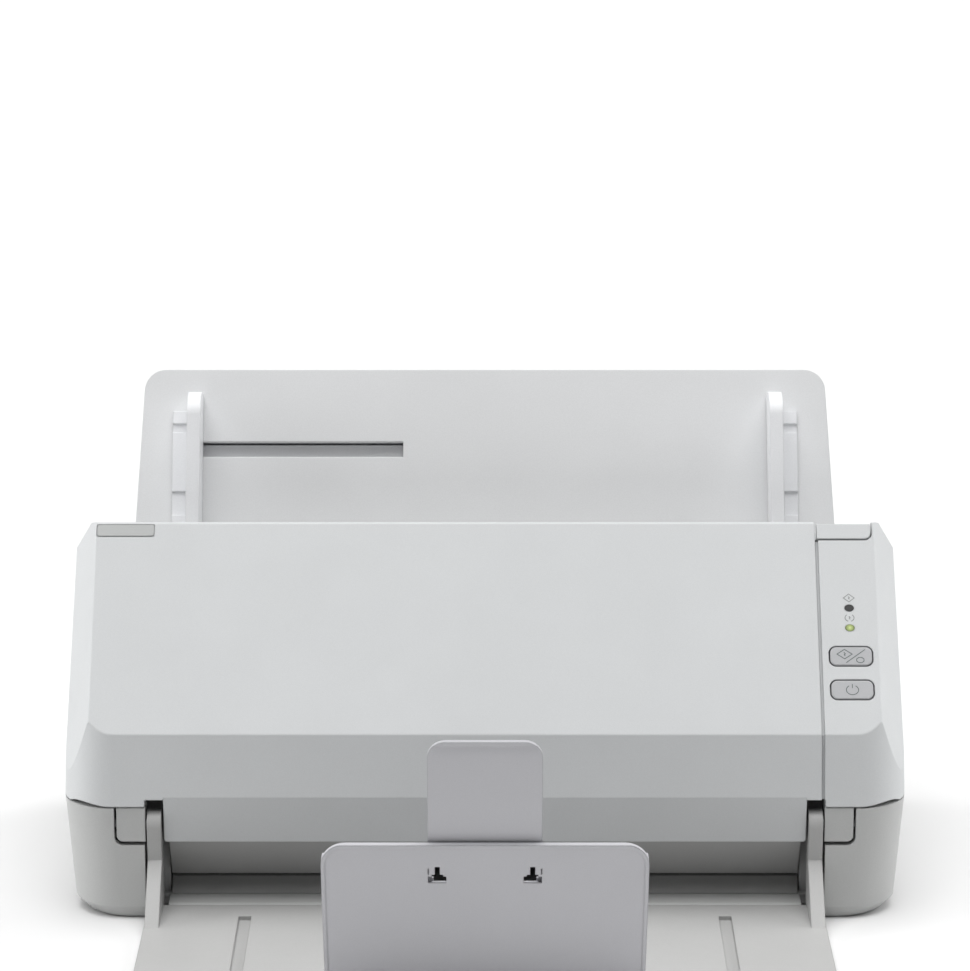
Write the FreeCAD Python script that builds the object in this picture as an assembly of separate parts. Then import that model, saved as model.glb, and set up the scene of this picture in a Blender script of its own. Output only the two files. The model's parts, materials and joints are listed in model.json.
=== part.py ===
"""Compact sheet fed document scanner: lower case, hinged feeder unit, stacker tray and paper chute.

Units are millimetres, +Z is up, -Y is the front. While the pieces are built, y = 0 is the front plane of
the body. When they are saved they move along Y, so that the origin is on the desk under the middle of the
unfolded scanner's bounding box.
"""
import FreeCAD, Part
import math
import os

V = FreeCAD.Vector
CLEAR = 0.3            # gap between pieces that move past each other
RUNNING = 0.05         # radial clearance of a shaft in its bush or bore
SEAT = 0.02            # radial clearance of a pin, bush or screw fixed in its hole
WALL = 2.5             # moulded wall

# ---- body --------------------------------------------------------------------------------------------
HALF_WIDTH = 149.0     # half of the width at the parting line
DEPTH = 132.0          # front plane to rear wall
PART_Z = 41.6          # height of the parting line between lower case and feeder unit
PART_GAP = 0.4
FOOT_Z = 0.5           # underside of the case above the desk
BAND_TOP = 4.6         # top of the chamfered band round the foot of the case
BAND_IN = 3.4          # how far the band leans in at the sides ...
BAND_IN_FRONT = 2.0    # ... and at the front and back
BASE_IN = 3.0          # how far each side leans in from the parting line to the band
TOP_IN = 1.2           # how far each side leans in from the parting line to the top edge
CORNER_FRONT = 17.5
CORNER_REAR = 14.0
REAR_TOP = 108.5       # top of the rear housing
REAR_ROUND = 6.0
FLOOR_TOP = 4.3        # inner face of the case floor
CHEEK = 112.2          # inner face of the walls beside the paper exit
CHEEK_T = 2.0
DECK_BACK = 69.5       # rear edge of the decks on both sides of the paper exit
SLOT_BACK = 14.0       # rear end of the slots for the stacker arms

# ---- feeder unit profile (y, z) ----------------------------------------------------------------------
RIDGE = (6.0, 66.7)
TOP_EDGE = (57.0, 130.0)
TOP_BACK = (61.0, 128.6)
STRIP_TOP_Z = 45.2     # the front face turns into the hanging strip here
STRIP_FOOT = (3.0, 28.0)
STRIP_HALF = 113.1
STRIP_ROUND = 1.0
BEVEL_IN = 9.3         # the flat top stops this far inside the parting line's half width
BEVEL_RUN = 5.2
BEVEL_DROP = 10.0
PANEL_X = 118.3        # right edge of the top cover, where the seam to the operator panel starts
SEAM = 0.15
SEAM_STEP_W = 1.1      # width and depth of the channel along the seam
SEAM_STEP_DEEP = 1.3
NOTCH_IN = 113.1       # notch for the stacker arm, from here ...
NOTCH_OUT = 119.7      # ... to here
NOTCH_TOP = 44.3
COVER_ROUND = 1.2

# ---- paper path --------------------------------------------------------------------------------------
PATH_ANGLE = 63.7
PATH_FOOT_Y = 45.93    # where the straight path would meet the desk
BEND_TOP_Z = 32.0      # the path leaves its straight run here
BEND_R = 24.0
EXIT_ANGLE = 19.0
EXIT_Y = 18.0
PAPER_GAP = 1.2
GUIDE_T = 2.2
THROAT_Z = 84.0        # the feeder's rear face leaves the paper path here
GUIDE_TOP_Z = 102.0
GUIDE_HALF = 111.7

# ---- hinge of the feeder unit and the stacker arms ---------------------------------------------------
HINGE = (4.2, 34.6)
PIN_R = 2.0
ARM_IN = 119.5
ARM_OUT = 129.6
ARM_FOOT_Z = 29.0
ARM_ROUND = 2.2
ARM_BACK = 12.0
POCKET_BACK = 17.0
POCKET_FOOT_Z = 27.6
COLUMN_IN = 130.4
COLUMN_T = 4.0
ARCH_R = 8.4           # the feeder unit's skin keeps outside this radius about its hinge ...
CASE_ARCH_R = 8.2      # ... and the case's front edge inside this one

# ---- stacker -----------------------------------------------------------------------------------------
STACK_IN = 113.9
STACK_OUT = 118.9
STACK_HEAD = 5.0
TRAY_HALF = 119.2
TRAY_TOP = 4.2
TRAY_T = 2.7
TRAY_FRONT = -88.0
TRAY_BACK = 3.0
STEP_Y = -20.0
GROOVE_X = 84.4
GROOVE_W = 4.4
GROOVE_BACK = -8.0
GROOVE_DEEP = 1.5
FLAP_HINGE = (-82.0, 6.0)
FLAP_CENTRE = (79.2, 124.4)
FLAP_HALF = 53.0
FLAP_T = 1.8
FLAP_R = 200.0         # radius of the flap's curve at the middle of its sheet
FLAP_LOW = 216.3       # angles about the flap's centre, from +Y towards +Z
FLAP_TOP = 195.75
FLAP_ROUND = 8.0
FLAP_FLANGE = 4.6
BARREL_R = 3.2
FLAP_PIN_R = 1.5
STOP_HALF = 18.5
STOP_T = 1.4
STOP_GAP = 0.7         # between the stop and the back of the flap
STOP_TOP = 185.2
STOP_LOW = 201.5
STOP_ROUND = 6.0
STOP_BAY_BACK = 30.5   # rear end of the room inside the base for the folded stop
STOP_BAY_TOP = 14.0
WINDOW_SHEET = 0.7     # thickness left round the flap's windows
WINDOW_DOWN = 14.95    # foot of the flap's windows below its top edge
BEAD_OUT = 0.3         # how far the bead round the flap stands out
BEAD_W = 1.3

# ---- rollers (height on the path of the point they touch, radius, shaft radius) ----------------------
NIP = 0.7              # how far a driven roller stands proud of its guide
PICK = (80.0, 11.0, 4.0)
FEED = (60.0, 9.0, 3.0)
EJECT_Y = 32.0
EJECT_R = 5.0
EJECT_SHAFT_R = 2.5
BRAKE_R = 9.0
BRAKE_SHAFT_R = 3.0
FEED_PINCH_R = 5.0
EJECT_PINCH_R = 4.5
PINCH_SHAFT_R = 2.0
PICK_X = (-21.0, 21.0)
PICK_W = 20.0
BRAKE_W = 24.0
FEED_X = (-80.0, -32.0, 32.0, 80.0)
FEED_W = 14.0
SENSOR_Z = 44.0
GLASS_W = 11.0
GLASS_T = 1.8
GLASS_HALF = 109.0
SENSOR_W = 14.0
SENSOR_D = 15.0
FRAME_X = 121.0        # inner face of the side frames
FRAME_T = 2.0
PICK_PULLEY_R = 6.0
FEED_PULLEY_R = 4.0
EJECT_PULLEY_R = 4.2
MOTOR_PULLEY_R = 6.0
PULLEY_W = 4.0
BELT_T = 1.2
DRIVE_BELT_X = 124.0   # inner face of the first belt's pulleys
EJECT_BELT_X = 130.0
MOTOR = (112.0, 27.0)
MOTOR_R = 17.0
MOTOR_L = 34.0
MOTOR_SHAFT_R = 1.5
BUSH_WALL = 1.6
FRAME_WALL = 2.5       # wall of the feeder unit's inner frame
BRAKE_BLOCK_X = 38.0
BRAKE_BLOCK_T = 4.0
LEVER_X = 52.0
LEVER_Z = 67.0
LEVER_PIN_R = 1.5

# ---- cover latch -------------------------------------------------------------------------------------
LATCH_AT = (60.0, 112.0)
LATCH_R = 2.0
HOOK_X = 133.0
HOOK_T = 3.0
HOOK_REACH = 2.0       # how far a hook's nose reaches behind the paper path
HOOK_Z = 88.0

# ---- feet, main board and sockets --------------------------------------------------------------------
FEET_AT = ((-118.0, 26.0), (118.0, 26.0), (-118.0, 116.0), (118.0, 116.0))
FOOT_R = 7.0
FOOT_SUNK = 1.0        # how deep a foot sits in the case floor
USB_X = (52.0, 65.0)
LAN_X = (76.0, 92.5)
POWER_X = (96.5, 106.5)
BOARD_Z = 10.3
BOARD_T = 1.6
BOARD = (16.0, 116.0, 84.0, 127.0)
SOCKET_H = {"usb": 11.0, "lan": 13.4, "power": 11.0}
POST_R = 2.5
SCREW_R = 1.0

# ---- operator panel (distances down the slope from the top edge) -------------------------------------
TAB_X = (119.0, 138.2)
TAB_S = (0.9, 6.5)
TAB_ROUND = 2.2
TAB_GAP = 0.65
KEY_GAP = 0.5          # gap round the keys
BUTTON_X = (122.2, 137.0)
BUTTON_ROUND = 2.2
SCAN_S = (48.3, 55.2)
POWER_S = (61.0, 67.9)
LENS_X = 129.6
STATUS_S = 33.3
READY_S = 40.9
LENS_R = (1.7, 1.3)     # half width and half height of the oval lenses
BADGE_X = (-139.4, -118.5)
BADGE_S = (0.9, 5.9)
PANEL_BOARD_X = (121.5, 137.7)
PANEL_BOARD_S = (29.0, 72.0)
PANEL_BOARD_H = (-9.8, -8.2)
STAKE_R = 0.9          # heat-staked pins that hold the panel board
STAKES = ((123.6, 31.0), (135.6, 31.0), (123.6, 58.1), (135.6, 58.1))

# ---- chute -------------------------------------------------------------------------------------------
CHUTE_N = 0.5          # front face of the chute panel behind the paper path
CHUTE_T = 3.0
CHUTE_FOOT_Z = 104.0
CHUTE_LOW_HALF = 130.6
CHUTE_TOP_HALF = 126.9
CHUTE_TOP_Z = 169.2
CHUTE_ROUND = 8.0
BACK_N = 12.2          # inner face of the chute's back
BACK_T = 2.0
BACK_HALF = 120.0
BACK_TOP_Z = 158.0
FIN_IN = 105.2
FIN_T = 5.0
FIN_OUT = 16.0         # how far a side guide's fin stands out from the chute
FIN_TOP_Z = 160.0
FIN_TOP_ROUND = 10.0
FIN_FOOT_ROUND = 6.0
FIN_FOOT_Z = 106.5
FLANGE_OUT = 116.5
GUIDE_TRAVEL = 75.0
RACK_U = 141.0         # distance of the pinion's axis up the path plane
RACK_N = 4.6
RACK_T = 3.0
TOOTH_MODULE = 1.8
PINION_TEETH = 14
TOOTH_LEAN = 20.0      # degrees that a rack tooth's sides lean
RACK_H = 5.0
RACK_END = 12.0        # how far a rack reaches past the pinion's axis
POST_X = (-110.0, -106.0)
EXTENSION_HALF = 45.0
EXTENSION_N = 9.2
EXTENSION_T = 2.0
EXTENSION_LEN = 58.0


# ---- frames and small helpers ------------------------------------------------------------------------
PATH_UP = (math.cos(math.radians(PATH_ANGLE)), math.sin(math.radians(PATH_ANGLE)))
PATH_N = (PATH_UP[1], -PATH_UP[0])                       # rearward normal of the path plane
EXIT_UP = (-math.sin(math.radians(EXIT_ANGLE)), math.cos(math.radians(EXIT_ANGLE)))
SLOPE = math.atan2(TOP_EDGE[1] - RIDGE[1], TOP_EDGE[0] - RIDGE[0])
SLOPE_LEN = math.hypot(TOP_EDGE[1] - RIDGE[1], TOP_EDGE[0] - RIDGE[0])


def path_point(z, offset=0.0):
    """Point (y, z) on the straight paper path at height z, moved rearward by offset."""
    y = PATH_FOOT_Y + z / math.tan(math.radians(PATH_ANGLE))
    return (y + offset * PATH_N[0], z + offset * PATH_N[1])


def path_u(z):
    return z / math.sin(math.radians(PATH_ANGLE))


BEND_TOP = path_point(BEND_TOP_Z)
BEND = (BEND_TOP[0] - BEND_R * PATH_N[0], BEND_TOP[1] - BEND_R * PATH_N[1])
BEND_FOOT = (BEND[0] - BEND_R * EXIT_UP[0], BEND[1] - BEND_R * EXIT_UP[1])


def exit_z(y):
    """Height of the paper path's floor in its run to the exit."""
    return BEND_FOOT[1] - (BEND_FOOT[0] - y) * math.tan(math.radians(EXIT_ANGLE))


def inset_corner(a, b, c, t):
    """Corner b of the outline a-b-c moved inward, to the right of the way round, by t."""
    def line(p, q):
        d = (q[0] - p[0], q[1] - p[1])
        n = math.hypot(d[0], d[1])
        d = (d[0] / n, d[1] / n)
        return (p[0] + d[1] * t, p[1] - d[0] * t), d
    (p, d), (q, e) = line(a, b), line(b, c)
    cross = d[0] * e[1] - d[1] * e[0]
    k = ((q[0] - p[0]) * e[1] - (q[1] - p[1]) * e[0]) / cross
    return (p[0] + k * d[0], p[1] + k * d[1])


def box(x0, x1, y0, y1, z0, z1):
    return Part.makeBox(x1 - x0, y1 - y0, z1 - z0, V(x0, y0, z0))


def both(shape):
    """A shape and its mirror image in the middle plane, as one shape."""
    return shape.fuse(mirrored(shape))


def mirrored(shape):
    return shape.mirror(V(0, 0, 0), V(1, 0, 0))


def prism(points, x0, x1):
    """An outline in (y, z) made solid from x0 to x1."""
    wire = Part.makePolygon([V(x0, y, z) for y, z in points] + [V(x0, points[0][0], points[0][1])])
    return Part.Face(wire).extrude(V(x1 - x0, 0, 0))


def rod(centre, r, x0, x1):
    """Cylinder along X about a (y, z) centre."""
    return Part.makeCylinder(r, x1 - x0, V(x0, centre[0], centre[1]), V(1, 0, 0))


def path_box(x0, x1, u0, u1, n0, n1):
    """Block in the path plane's frame: u up the plane, n behind it."""
    block = Part.makeBox(x1 - x0, u1 - u0, n1 - n0, V(x0, u0, -n1))
    return on_path(block)


def on_path(shape):
    """Turns a shape drawn in (x, u, -n) onto the path plane."""
    shape.Placement = FreeCAD.Placement(V(0, PATH_FOOT_Y, 0), FreeCAD.Rotation(V(1, 0, 0), PATH_ANGLE))
    return shape.copy()


def on_slope(shape):
    """Turns a shape drawn in (x, distance down from the top edge negative, height) onto the top slope."""
    turn = FreeCAD.Rotation(V(1, 0, 0), math.degrees(SLOPE))
    shape.Placement = FreeCAD.Placement(V(0, TOP_EDGE[0], TOP_EDGE[1]), turn)
    return shape.copy()


def slope_box(x, s, low, high, round_r=0.0):
    """Block on the top slope between x and s (measured down the slope), from low to high above it."""
    block = Part.makeBox(x[1] - x[0], s[1] - s[0], high - low, V(x[0], -s[1], low))
    if round_r:
        upright = [e for e in block.Edges if abs(e.tangentAt(e.FirstParameter).z) > 0.9]
        block = block.makeFillet(round_r, upright).Solids[0]
    return on_slope(block)


def slope_post(x, s, r, low, high):
    return on_slope(Part.makeCylinder(r, high - low, V(x, -s, low)))


def slope_oval(x, s, r, low, high):
    """Oval post on the top slope, with half width r[0] along X and half height r[1] down the slope."""
    rim = Part.Wire(Part.Ellipse(V(x, -s, low), r[0], r[1]).toShape())
    return on_slope(Part.Face(rim).extrude(V(0, 0, high - low)))


def fuse_all(shapes):
    return shapes[0].multiFuse(shapes[1:]).removeSplitter()


def tube_belt(pulleys, x0, x1):
    """A flat belt round pulleys (centre, radius), listed in order with the loop on their right."""
    def loop(extra):
        edges = []
        ends = []
        count = len(pulleys)
        for i in range(count):
            (a, ra), (b, rb) = pulleys[i], pulleys[(i + 1) % count]
            ra, rb = ra + extra, rb + extra
            d = (b[0] - a[0], b[1] - a[1])
            n = math.hypot(d[0], d[1])
            lean = math.asin((ra - rb) / n)
            way = math.atan2(d[1], d[0]) + math.pi / 2 - lean
            out = (math.cos(way), math.sin(way))
            start = (a[0] + ra * out[0], a[1] + ra * out[1])
            ends.append((start, (b[0] + rb * out[0], b[1] + rb * out[1]), way))
        for i in range(count):
            start, end, way = ends[i]
            edges.append(Part.LineSegment(V(x0, start[0], start[1]), V(x0, end[0], end[1])).toShape())
            after = ends[(i + 1) % count]
            centre, r = pulleys[(i + 1) % count]
            turn = (after[2] - way) % (2 * math.pi) - 2 * math.pi
            mid = way + turn / 2
            bulge = V(x0, centre[0] + (r + extra) * math.cos(mid), centre[1] + (r + extra) * math.sin(mid))
            arc = Part.Arc(V(x0, end[0], end[1]), bulge, V(x0, after[0][0], after[0][1]))
            edges.append(arc.toShape())
        return Part.Face(Part.Wire(edges)).extrude(V(x1 - x0, 0, 0))
    return loop(CLEAR + BELT_T).cut(loop(CLEAR))


# ---- outer shape -------------------------------------------------------------------------------------
def plan(z, half, y0, y1, r_front, r_rear):
    """Rounded rectangle at height z."""
    def arc(cx, cy, r, a):
        pts = [V(cx + r * math.cos(math.radians(a + k)), cy + r * math.sin(math.radians(a + k)), z)
               for k in (0, 45, 90)]
        return Part.Arc(*pts).toShape()
    corners = [arc(half - r_rear, y1 - r_rear, r_rear, 0),
               arc(-half + r_rear, y1 - r_rear, r_rear, 90),
               arc(-half + r_front, y0 + r_front, r_front, 180),
               arc(half - r_front, y0 + r_front, r_front, 270)]
    edges = []
    for i, corner in enumerate(corners):
        edges.append(corner)
        follow = corners[(i + 1) % 4]
        edges.append(Part.LineSegment(corner.lastVertex().Point, follow.firstVertex().Point).toShape())
    return Part.Wire(edges)


def plan_at(z, half, inset, front_in=0.0, back_in=0.0):
    """Outline at height z, moved in by inset, with its front and back moved in further."""
    return plan(z, half - inset, inset + front_in, DEPTH - inset - back_in, CORNER_FRONT - inset,
                CORNER_REAR - inset)


def lower_body(inset, foot, top):
    """The lower body's outside, moved in by inset, between two heights. It leans in towards the desk."""
    lean = BASE_IN / (PART_Z - BAND_TOP)
    half_top = HALF_WIDTH - (PART_Z - top) * lean
    half_low = HALF_WIDTH - (PART_Z - foot) * lean
    wires = [plan_at(foot, half_low, inset), plan_at(top, half_top, inset)]
    return Part.makeLoft(wires, True, True)


def upper_body(inset, foot, top):
    """The upper body's outside, moved in by inset. Its front leans back, its sides lean in to the top."""
    lean = TOP_IN / (TOP_EDGE[1] - PART_Z)
    front_lean = RIDGE[0] / (RIDGE[1] - LID_FOOT)
    wires = [plan_at(z, HALF_WIDTH - (z - PART_Z) * lean, inset, (z - LID_FOOT) * front_lean)
             for z in (foot, top)]
    return Part.makeLoft(wires, True, True)


def foot_band():
    half = HALF_WIDTH - BASE_IN
    wires = [plan_at(FOOT_Z, half - BAND_IN, 0, BAND_IN_FRONT, BAND_IN_FRONT), plan_at(BAND_TOP, half, 0)]
    return Part.makeLoft(wires, True, True)


LID_FOOT = PART_Z + PART_GAP / 2
CASE_TOP = PART_Z - PART_GAP / 2
FEEDER_REAR = path_point(LID_FOOT, -PAPER_GAP)
FEEDER_THROAT = path_point(THROAT_Z, -PAPER_GAP)


def lid_outline():
    """Side outline of the feeder unit above the parting line, clockwise seen from +X."""
    return [(0.0, LID_FOOT), RIDGE, TOP_EDGE, TOP_BACK, FEEDER_THROAT, FEEDER_REAR]


def bevel_wedges(inset):
    """What the bevels along both sides of the sloping top take away, from an outside moved in by inset."""
    size = math.hypot(BEVEL_RUN, BEVEL_DROP)
    flat = HALF_WIDTH - BEVEL_IN - inset * size / BEVEL_DROP
    reach = 2.6
    points = [(flat - BEVEL_RUN, BEVEL_DROP), (flat + reach * BEVEL_RUN, -reach * BEVEL_DROP),
              (flat + 40, -reach * BEVEL_DROP), (flat + 40, BEVEL_DROP)]
    wire = Part.makePolygon([V(x, -SLOPE_LEN - 40, h) for x, h in points + points[:1]])
    return both(on_slope(Part.Face(wire).extrude(V(0, SLOPE_LEN + 60, 0))))


def lid_outside():
    """The closed outside of the feeder unit, bevelled along both sides of its sloping top."""
    solid = prism(lid_outline(), -HALF_WIDTH, HALF_WIDTH).common(upper_body(0, LID_FOOT - 5, TOP_EDGE[1] + 5))
    solid = solid.cut(bevel_wedges(0))
    long_edges = [e for e in solid.Edges if is_long(e, 100)]
    chosen = [e for e in long_edges if near(e, RIDGE) or near(e, TOP_EDGE)]
    chosen += [e for e in solid.Edges if along_slope(e)]
    return solid.makeFillet(COVER_ROUND, chosen)


def is_long(edge, length):
    return edge.Length > length


def near(edge, point):
    mid = edge.valueAt((edge.FirstParameter + edge.LastParameter) / 2)
    return math.hypot(mid.y - point[0], mid.z - point[1]) < 0.5


def along_slope(edge):
    """Long edges of the side bevel: where it meets the flat top."""
    flat = HALF_WIDTH - BEVEL_IN
    ends = [v.Point for v in edge.Vertexes]
    return len(ends) == 2 and all(abs(abs(p.x) - flat) < 0.5 for p in ends) and edge.Length > 40


def lid_hollow(wall=WALL):
    """The space inside the feeder unit's skin. It is open behind and below, past a hem along the top."""
    outline = lid_outline()
    front_in = (wall, LID_FOOT - 3)
    fold_in = inset_corner((0.0, 0.0), outline[0], outline[1], wall)
    ridge_in = inset_corner(outline[0], outline[1], outline[2], wall)
    top_in = inset_corner(outline[1], outline[2], outline[3], wall)
    back_in = inset_corner(outline[2], outline[3], outline[4], wall)
    hem = (back_in[0] + 2.8, back_in[1] - 4.8)
    inner = [front_in, fold_in, ridge_in, top_in, back_in, hem, (hem[0] + 60, hem[1]),
             (hem[0] + 60, LID_FOOT - 3)]
    hollow = prism(inner, -HALF_WIDTH, HALF_WIDTH).common(upper_body(wall, LID_FOOT - 4, TOP_EDGE[1]))
    return hollow.cut(bevel_wedges(wall))


def lid_shell():
    """The feeder unit's outer skin: front, sloping top and both sides, open behind and below."""
    outside = lid_outside()
    shell = outside.cut(lid_hollow())
    channel = box(PANEL_X, PANEL_X + SEAM_STEP_W, -1, TOP_BACK[0] - 1, LID_FOOT - 1, 140)
    shell = shell.cut(channel.cut(lid_hollow(SEAM_STEP_DEEP)))
    shell = shell.cut(rod(HINGE, ARCH_R, -HALF_WIDTH, HALF_WIDTH))
    return shell.cut(both(box(NOTCH_IN, NOTCH_OUT, -1, POCKET_BACK, 30, NOTCH_TOP)))


# ---- feeder unit: skin -------------------------------------------------------------------------------
def top_cover():
    """The big lid: skin left of the operator panel, with the strip that hangs below the parting line."""
    cover = lid_shell().common(box(-HALF_WIDTH - 1, PANEL_X, -5, DEPTH, 0, 140))
    top = ((STRIP_TOP_Z - LID_FOOT) * RIDGE[0] / (RIDGE[1] - LID_FOOT), STRIP_TOP_Z)
    cover = cover.cut(prism([(-1, top[1]), top, STRIP_FOOT, (-1, STRIP_FOOT[1])], -STRIP_HALF, STRIP_HALF))
    strip = prism([top, STRIP_FOOT, (STRIP_FOOT[0] + WALL, STRIP_FOOT[1]),
                   (WALL + 0.4, STRIP_TOP_Z + 1.0), (top[0] + 0.6, STRIP_TOP_Z + 1.0)],
                  -STRIP_HALF, STRIP_HALF)
    feet = [e for e in strip.Edges
            if abs(e.BoundBox.ZMax - STRIP_FOOT[1]) < 0.01 and e.BoundBox.XLength < 0.01]
    strip = strip.makeFillet(STRIP_ROUND, feet)
    badge = slope_box(BADGE_X, BADGE_S, -0.5, 2.0, 0.8)
    return cover.fuse(strip).removeSplitter().cut(badge)


def operator_panel():
    """Skin to the right of the seam, with openings for the release tab, the buttons and the lenses."""
    panel = lid_shell().common(box(PANEL_X + SEAM, HALF_WIDTH + 1, -5, DEPTH, 0, 140))
    tab_hole = ((TAB_X[0] - 9.0, TAB_X[1] + TAB_GAP), (-9.0, TAB_S[1] + TAB_GAP))
    cuts = [slope_box(tab_hole[0], tab_hole[1], -9.0, 4.0, TAB_ROUND + TAB_GAP)]
    for s in (SCAN_S, POWER_S):
        hole_x = (BUTTON_X[0] - KEY_GAP, BUTTON_X[1] + KEY_GAP)
        cuts.append(slope_box(hole_x, (s[0] - KEY_GAP, s[1] + KEY_GAP), -6.0, 3.0, BUTTON_ROUND + KEY_GAP))
    for s in (STATUS_S, READY_S):
        cuts.append(slope_oval(LENS_X, s, LENS_R, -8.0, 3.0))
    for cut in cuts:
        panel = panel.cut(cut)
    return fuse_all([panel] + board_stakes())


def board_stakes():
    """Pins under the panel that pass through the board, with their melted heads behind it."""
    back = PANEL_BOARD_H[0]
    pins = [slope_post(x, s, STAKE_R, back - 0.5, -1.0) for x, s in STAKES]
    return pins + [slope_post(x, s, STAKE_R + 0.6, back - 0.5, back) for x, s in STAKES]


def button(s):
    """A key cap with a retaining flange under the panel."""
    cap = slope_box(BUTTON_X, s, -4.6, 0.25, BUTTON_ROUND)
    top = [e for e in cap.Edges if e.CenterOfMass.z > cap.CenterOfMass.z and is_top_edge(e)]
    cap = cap.makeFillet(0.3, top)
    flange = slope_box((BUTTON_X[0] - 1.0, BUTTON_X[1] + 1.0), (s[0] - 1.0, s[1] + 1.0), -4.6, -WALL - 0.9)
    stem = slope_post(LENS_X, (s[0] + s[1]) / 2, 2.0, -6.6, -4.6)
    return fuse_all([cap, flange, stem])


def is_top_edge(edge):
    """Edges of a key cap's outer face."""
    normal = V(0, -math.sin(SLOPE), math.cos(SLOPE))
    top = V(0, TOP_EDGE[0], TOP_EDGE[1])
    heights = [(v.Point - top).dot(normal) for v in edge.Vertexes]
    return min(heights) > 0.2


def lens(s):
    """Light pipe from the panel board to the panel's face."""
    return slope_oval(LENS_X, s, (LENS_R[0] - SEAT, LENS_R[1] - SEAT), -7.8, 0.15)


def panel_board():
    board = slope_box(PANEL_BOARD_X, PANEL_BOARD_S, PANEL_BOARD_H[0], PANEL_BOARD_H[1])
    for x, s in STAKES:
        board = board.cut(slope_post(x, s, STAKE_R + SEAT, -12.0, -6.0))
    switches = []
    for low, high in (SCAN_S, POWER_S):
        mid = (low + high) / 2
        switches.append(slope_box((LENS_X - 3, LENS_X + 3), (mid - 3, mid + 3), PANEL_BOARD_H[1], -7.9))
    return fuse_all([board] + switches)


# ---- feeder unit: frame ------------------------------------------------------------------------------
def line(a, b):
    return Part.LineSegment(V(0, a[0], a[1]), V(0, b[0], b[1])).toShape()


def arc(a, m, b):
    return Part.Arc(V(0, a[0], a[1]), V(0, m[0], m[1]), V(0, b[0], b[1])).toShape()


def along(p, way, length):
    return (p[0] + way[0] * length, p[1] + way[1] * length)


def path_line(offset, top_z):
    """Corners of the paper path moved outward by offset: top, bend top, bend middle, bend foot, exit."""
    middle = (PATH_N[0] - EXIT_UP[0], PATH_N[1] - EXIT_UP[1])
    size = math.hypot(middle[0], middle[1])
    r = BEND_R + offset
    bend_mid = along(BEND, (middle[0] / size, middle[1] / size), r)
    exit_point = along((EXIT_Y, exit_z(EXIT_Y)), EXIT_UP, -offset)
    return [path_point(top_z, offset), along(BEND, PATH_N, r), bend_mid, along(BEND, EXIT_UP, -r), exit_point]


def guide_sheet(near_offset, far_offset, top_z, half):
    """A sheet that follows the paper path, between two offsets from it."""
    a, b = path_line(near_offset, top_z), path_line(far_offset, top_z)
    edges = [line(a[0], a[1]), arc(a[1], a[2], a[3]), line(a[3], a[4]), line(a[4], b[4]),
             line(b[4], b[3]), arc(b[3], b[2], b[1]), line(b[1], b[0]), line(b[0], a[0])]
    sheet = Part.Face(Part.Wire(edges)).extrude(V(2 * half, 0, 0))
    return sheet.translated(V(-half, 0, 0))


def roller_centre(z, r, behind=True):
    """Centre of a roller that touches the straight path at height z, behind it or in front of it."""
    return path_point(z, r - NIP) if behind else path_point(z, -(r + NIP + CLEAR))


def eject_centre(r, below=True):
    touch = (EJECT_Y, exit_z(EJECT_Y))
    return along(touch, EXIT_UP, NIP - r) if below else along(touch, EXIT_UP, NIP + CLEAR + r)


PICK_AT = roller_centre(PICK[0], PICK[1])
FEED_AT = roller_centre(FEED[0], FEED[1])
EJECT_AT = eject_centre(EJECT_R)
BRAKE_AT = roller_centre(PICK[0], BRAKE_R, False)
FEED_PINCH_AT = roller_centre(FEED[0], FEED_PINCH_R, False)
EJECT_PINCH_AT = eject_centre(EJECT_PINCH_R, False)


def roller_windows(centre, r, places, width):
    """Cuts for the rollers of one shaft."""
    return [rod(centre, r + 1.0, x - width / 2 - 1.0, x + width / 2 + 1.0) for x in places]


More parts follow.
